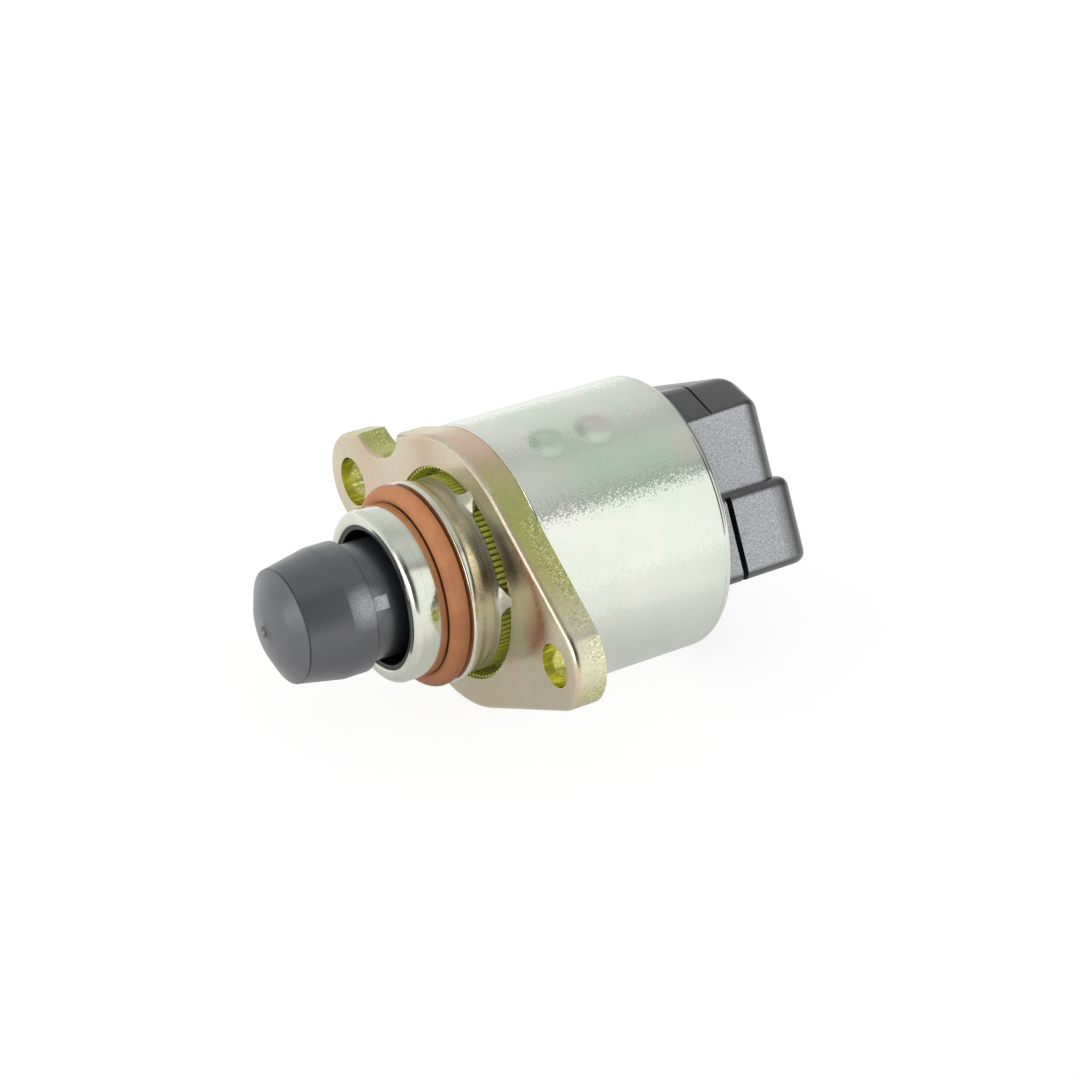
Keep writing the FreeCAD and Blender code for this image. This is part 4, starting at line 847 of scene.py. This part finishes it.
# Connector, drawn level and then turned about the axis: a plug in the can, an upper block with a sloping
# shoulder on each side, and below it the shroud with its socket and side slots.
connectorShape = {
    "plug": [(-26.6, 0), (-26.6, 16.4), (-27.9, 16.4), (-27.9, 15.85), (-29.2, 15.85), (-29.2, 0)],
    "upper": {"half": 12.6, "sideTop": 10.6, "topHalf": 8.3, "top": 14.6, "back": -40.9, "front": -29.06,
              "backEdge": 3.2, "backSteps": 10, "sideEdge": 0.9, "topEdge": 2.6, "footEdge": 0.05,
              "edgeGrowth": 0.45, "edgeSteps": 8, "draft": 0.4},
    "shroud": {"low": (-41.5, -14.2, -9.95), "high": (-29.06, 14.2, 1.0), "backEdge": 2.6, "topEdge": 1.3,
               "rimEdge": 1.3},
    "socket": ((-40.3, -11.9, -12.0), (-33.9, 11.9, -0.3)),
    "slots": [((-31.95, 9.2, -12.0), (-31.15, 16.0, 0.5)), ((-31.95, -16.0, -12.0), (-31.15, -9.2, 0.5))],
    "partingLine": {"low": (-33.2, -3.0, 15.85), "high": (-32.92, 4.2, 17.4), "lean": 34.4},
    "bushSeat": (0, 0, 4.52, -31.3, -26.0), "turn": 29.5}


# Outline of the upper block as points (y, z) in mm, every side but the lowest moved in, corners rounded.
def upperOutline(shape, inset, drop):
    corners = [(shape["half"], 0, 0), (shape["half"], shape["sideTop"] + drop, shape["sideEdge"]),
               (shape["topHalf"], shape["top"] - drop, shape["topEdge"])]
    corners += [(-y, z, radius) for y, z, radius in reversed(corners)]
    places = [Vector(corner[:2]) for corner in corners]
    sides = []
    for start, end in zip(places, places[1:] + places[:1]):
        along = (end - start).normalized()
        moved = start if start.y == end.y == 0 else start + Vector((-along.y, along.x)) * inset
        sides.append((moved, along))
    outline = []
    for (start, before), (other, after), (y, z, radius) in zip(sides[-1:] + sides, sides, corners):
        cross = before.x * after.y - before.y * after.x
        corner = start + before * (((other - start).x * after.y - (other - start).y * after.x) / cross)
        turn = before.angle(after)
        radius = radius + shape["edgeGrowth"] * inset if z > 0 else shape["footEdge"]
        centre = corner + (after - before).normalized() * (radius / math.cos(turn / 2))
        for step in range(shape["edgeSteps"] + 1):
            bend = math.atan2(before.y, before.x) - math.pi / 2 + turn * step / shape["edgeSteps"]
            outline.append(centre + Vector((math.cos(bend), math.sin(bend))) * radius)
    return outline


# Lofted from its front to its back, where the sections draw in along a quarter of a circle.
def makeUpper(shape, whole):
    bm = bmesh.new()
    rounding = shape["backEdge"]
    sections = [(shape["front"], 0.0), (shape["back"] + rounding + 0.2, 0.0)]
    for step in range(shape["backSteps"] + 1):
        turn = math.pi / 2 * step / shape["backSteps"]
        sections.append((shape["back"] + rounding * (1 - math.sin(turn)), rounding * (1 - math.cos(turn))))
    rings = []
    for x, inset in sections:
        drop = shape["draft"] * (x - shape["front"]) / (shape["back"] - shape["front"])
        rings.append([bm.verts.new((x * mm, p.x * mm, p.y * mm)) for p in upperOutline(shape, inset, drop)])
    for ring, following in zip(rings, rings[1:]):
        for index in range(len(ring)):
            beside = (index + 1) % len(ring)
            bm.faces.new((ring[index], ring[beside], following[beside], following[index]))
    bm.faces.new(rings[0])
    bm.faces.new(rings[-1])
    faceOutward(bm)
    lines = []
    for side in (-1, 1):
        line = blockAt(whole["partingLine"]["low"], whole["partingLine"]["high"])
        turnAboutX(line, whole["partingLine"]["lean"] * side)
        lines.append(line)
    return cutOut(bm, [*lines, rodAt(*whole["bushSeat"])])


def makeShroud(shape, whole):
    bm = blockAt(shape["low"], shape["high"])
    low, high = Vector(shape["low"]) * mm, Vector(shape["high"]) * mm

    def at(edge, axis, value):
        return all(abs(v.co[axis] - value) < 1e-6 for v in edge.verts)

    def rim(z):
        return [e for e in bm.edges if at(e, 2, z) and not at(e, 0, high.x) and e.calc_face_angle(0) > 1]
    upright = [e for e in bm.edges if at(e, 0, low.x) and abs(e.verts[0].co.z - e.verts[1].co.z) > 1 * mm]
    bevelEdges(bm, upright, shape["backEdge"], 8)
    bevelEdges(bm, rim(high.z), shape["topEdge"], 5)
    bevelEdges(bm, rim(low.z), shape["rimEdge"], 5)
    slots = [blockAt(*slot) for slot in whole["slots"]]
    return cutOut(bm, [blockAt(*whole["socket"]), rodAt(*whole["bushSeat"]), *slots])


def makeConnector(shape):
    bm = cutOut(turnedShape(shape["plug"], steps=180), [rodAt(*shape["bushSeat"])])
    for part in (makeUpper(shape["upper"], shape), makeShroud(shape["shroud"], shape)):
        joinShape(bm, part)
    turnAboutX(bm, shape["turn"])
    finishPiece("connectorCover", bm, connectorPlastic, "housing", ["connector_body"],
                sharp=35.0)


makeConnector(connectorShape)

# Nodes that keep their own mesh, by their finish.
nodeFinishes = {
    "sleeveResin": ["guide_sleeve"], "springSteel": ["wave_washer"], "magnetFerrite": ["rotor_magnet"],
    "bearingSteel": ["lead_screw", "bearing_outer_race", "bearing_inner_race", "ball_cage"],
    "bobbinResin": ["rotor_hub", "bobbin_front", "bobbin_rear"], "turnedBrass": ["drive_nut"],
    "statorSteel": ["cup_front_outer", "cup_front_inner", "cup_rear_inner", "cup_rear_outer"],
    "copperWire": ["coil_front", "coil_rear"], "sinteredBronze": ["rear_bush"],
    "sealRubber": ["cover_seal"], "tinPlate": ["terminal_pin_%d" % pin for pin in (1, 2, 3, 4)]}
nodeLook = {"join": 2e-6, "crease": 32.0}


# A node keeps its mesh; its finish and two live modifiers join its triangles and keep its creases.
def dressNode(nodeName, finish, look):
    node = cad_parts[nodeName]
    node.data.materials.clear()
    node.data.materials.append(bpy.data.materials[finish])
    node.modifiers.new("joined", "WELD").merge_threshold = look["join"]
    node.modifiers.new("creases", "EDGE_SPLIT").split_angle = math.radians(look["crease"])


for finish, nodeNames in nodeFinishes.items():
    for nodeName in nodeNames:
        dressNode(nodeName, finish, nodeLook)
print("nodes dressed:", sum(len(nodeNames) for nodeNames in nodeFinishes.values()))


# Floor: matt and pale, and white where it is seen; its mirror image dims close to the object, a painted
# shadow.
stageLook = {"floorLevel": -17.62, "floorHalf": 3.0, "diffuse": 0.22, "glow": 0.86, "middle": (-0.008, 0),
             "nearGlow": 0.48, "midGlow": 0.76, "farGlow": 0.94, "nearReach": 0.022, "midReach": 0.055,
             "farReach": 0.42}


def seenRay(tree):
    rays = addNode(tree, "ShaderNodeLightPath")
    both = plus(tree, rays.outputs["Is Camera Ray"], rays.outputs["Is Glossy Ray"])
    return mathNode(tree, "ADD", both, rays.outputs["Is Transmission Ray"], clamp=True)


def makeFloor(look):
    bm = bmesh.new()
    bmesh.ops.create_grid(bm, x_segments=2, y_segments=2, size=look["floorHalf"])
    moveBy(bm, bm.verts[:], 0, 0, look["floorLevel"])
    floor = addObject("paleFloor", meshFrom(bm, "paleFloor"))
    material = bpy.data.materials.new("paleFloor")
    material.use_nodes = True
    tree = material.node_tree
    tree.nodes.clear()
    # Painted shadow: the mirrored glow is lowest near the object.
    spot = vectorNode(tree, "DISTANCE", coords(tree), (*look["middle"], look["floorLevel"] * mm))
    near = ramped(tree, spot, look["nearReach"], look["midReach"], look["nearGlow"], look["midGlow"])
    far = ramped(tree, spot, look["midReach"], look["farReach"], 0.0, look["farGlow"] - look["midGlow"])
    direct = addNode(tree, "ShaderNodeLightPath").outputs["Is Camera Ray"]
    level = mixedLevel(tree, direct, plus(tree, near, far), look["glow"])
    glow = addNode(tree, "ShaderNodeEmission", {
        "Color": rgb(1, 1, 1), "Strength": times(tree, seenRay(tree), level)})
    grey = rgb(look["diffuse"], look["diffuse"], look["diffuse"])
    matt = addNode(tree, "ShaderNodeBsdfDiffuse", {"Color": grey})
    both = addNode(tree, "ShaderNodeAddShader", {0: glow.outputs[0], 1: matt.outputs[0]})
    addNode(tree, "ShaderNodeOutputMaterial", {"Surface": both.outputs[0]})
    floor.data.materials.append(material)


makeFloor(stageLook)


# World: white where the camera sees it and plain light on matt faces. Polished faces mirror a long white
# card beside the object, a dark gap above it, a paler ceiling, and a dark screen behind the card; each stop
# is an angle about X and a level, and the last two rows are (from, to, level).
worldLook = {
    "light": 0.50,
    "stops": [(-180, 0.85), (-150, 0.85), (0, 1.04), (52, 1.06), (57, 0.42), (70, 0.60), (90, 0.66),
              (112, 0.56), (136, 0.72), (180, 0.84)],
    "screenSide": (0.46, 0.71, 0.53), "cardEnd": (-0.62, -0.85, 0.35), "screenDark": (0.66, 0.95, 0.10)}


def makeWorld(look):
    world = bpy.data.worlds.new("studio")
    world.use_nodes = True
    tree = world.node_tree
    tree.nodes.clear()
    way = coords(tree, "Generated")
    x, y, z = apart(tree, way)
    ramp = addNode(tree, "ShaderNodeValToRGB", {
        0: ramped(tree, mathNode(tree, "ARCTAN2", z, y), -math.pi, math.pi)})
    stops = ramp.color_ramp.elements
    while len(stops) < len(look["stops"]):
        stops.new(0.5)
    for stop, (turn, level) in zip(stops, look["stops"]):
        stop.position, stop.color = (turn + 180) / 360, rgb(level, level, level)
    mirrored = ramp.outputs[0]
    toScreen = vectorNode(tree, "DOT_PRODUCT", way, look["screenSide"])
    for place, (near, far, level) in ((x, look["cardEnd"]), (toScreen, look["screenDark"])):
        mirrored = times(tree, mirrored, ramped(tree, place, near, far, 1.0, level))
    rays = addNode(tree, "ShaderNodeLightPath").outputs["Is Camera Ray"]
    level = mixedLevel(tree, seenRay(tree), look["light"], mathNode(tree, "MAXIMUM", mirrored, rays))
    background = addNode(tree, "ShaderNodeBackground", {"Color": rgb(1, 1, 1), "Strength": level})
    addNode(tree, "ShaderNodeOutputWorld", {"Surface": background.outputs[0]})
    bpy.context.scene.world = world


makeWorld(worldLook)


# Each softbox is a direction, a distance, a width and a height in metres, its watts, and whether it shows in
# polished faces.
def addSoftbox(name, direction, distance, width, height, watts, mirrored):
    lamp = bpy.data.lights.new(name, "AREA")
    lamp.shape, lamp.size, lamp.size_y, lamp.energy = "RECTANGLE", width, height, watts
    box = addObject(name, lamp)
    box.visible_glossy = mirrored
    place = Vector(direction).normalized() * distance
    box.matrix_world = Matrix.Translation(place) @ place.to_track_quat("Z", "Y").to_matrix().to_4x4()


softboxes = {
    "keySoftbox": ((-0.46, 0.82, 0.30), 0.80, 0.80, 0.80, 2.0, False),
    "frontSoftbox": ((0.62, -0.62, 0.48), 0.90, 0.45, 0.45, 1.1, False),
    "noseSoftbox": ((0.96, 0.15, 0.17), 0.90, 0.80, 0.50, 2.6, True),
    "topSoftbox": ((0.35, 0.30, 0.90), 0.90, 0.60, 0.60, 0.6, False)}
for name, values in softboxes.items():
    addSoftbox(name, *values)

cameraLook = {"place": (151.9, 252.65, 189.01), "right": (-0.8462, 0.5323, 0.0241),
              "up": (-0.2648, -0.4594, 0.8478), "back": (0.4624, 0.7111, 0.5297), "sensor": 36.0,
              "lens": 96.76, "clip": (0.01, 20.0)}


def makeCamera(look):
    data = bpy.data.cameras.new("photoCamera")
    data.sensor_width, data.lens = look["sensor"], look["lens"]
    data.clip_start, data.clip_end = look["clip"]
    camera = addObject("photoCamera", data)
    turn = Matrix((look["right"], look["up"], look["back"])).transposed().to_4x4()
    camera.matrix_world = Matrix.Translation(Vector(look["place"]) * mm) @ turn
    bpy.context.scene.camera = camera


makeCamera(cameraLook)
bpy.context.scene.view_settings.view_transform = "Standard"
print("stage ready")
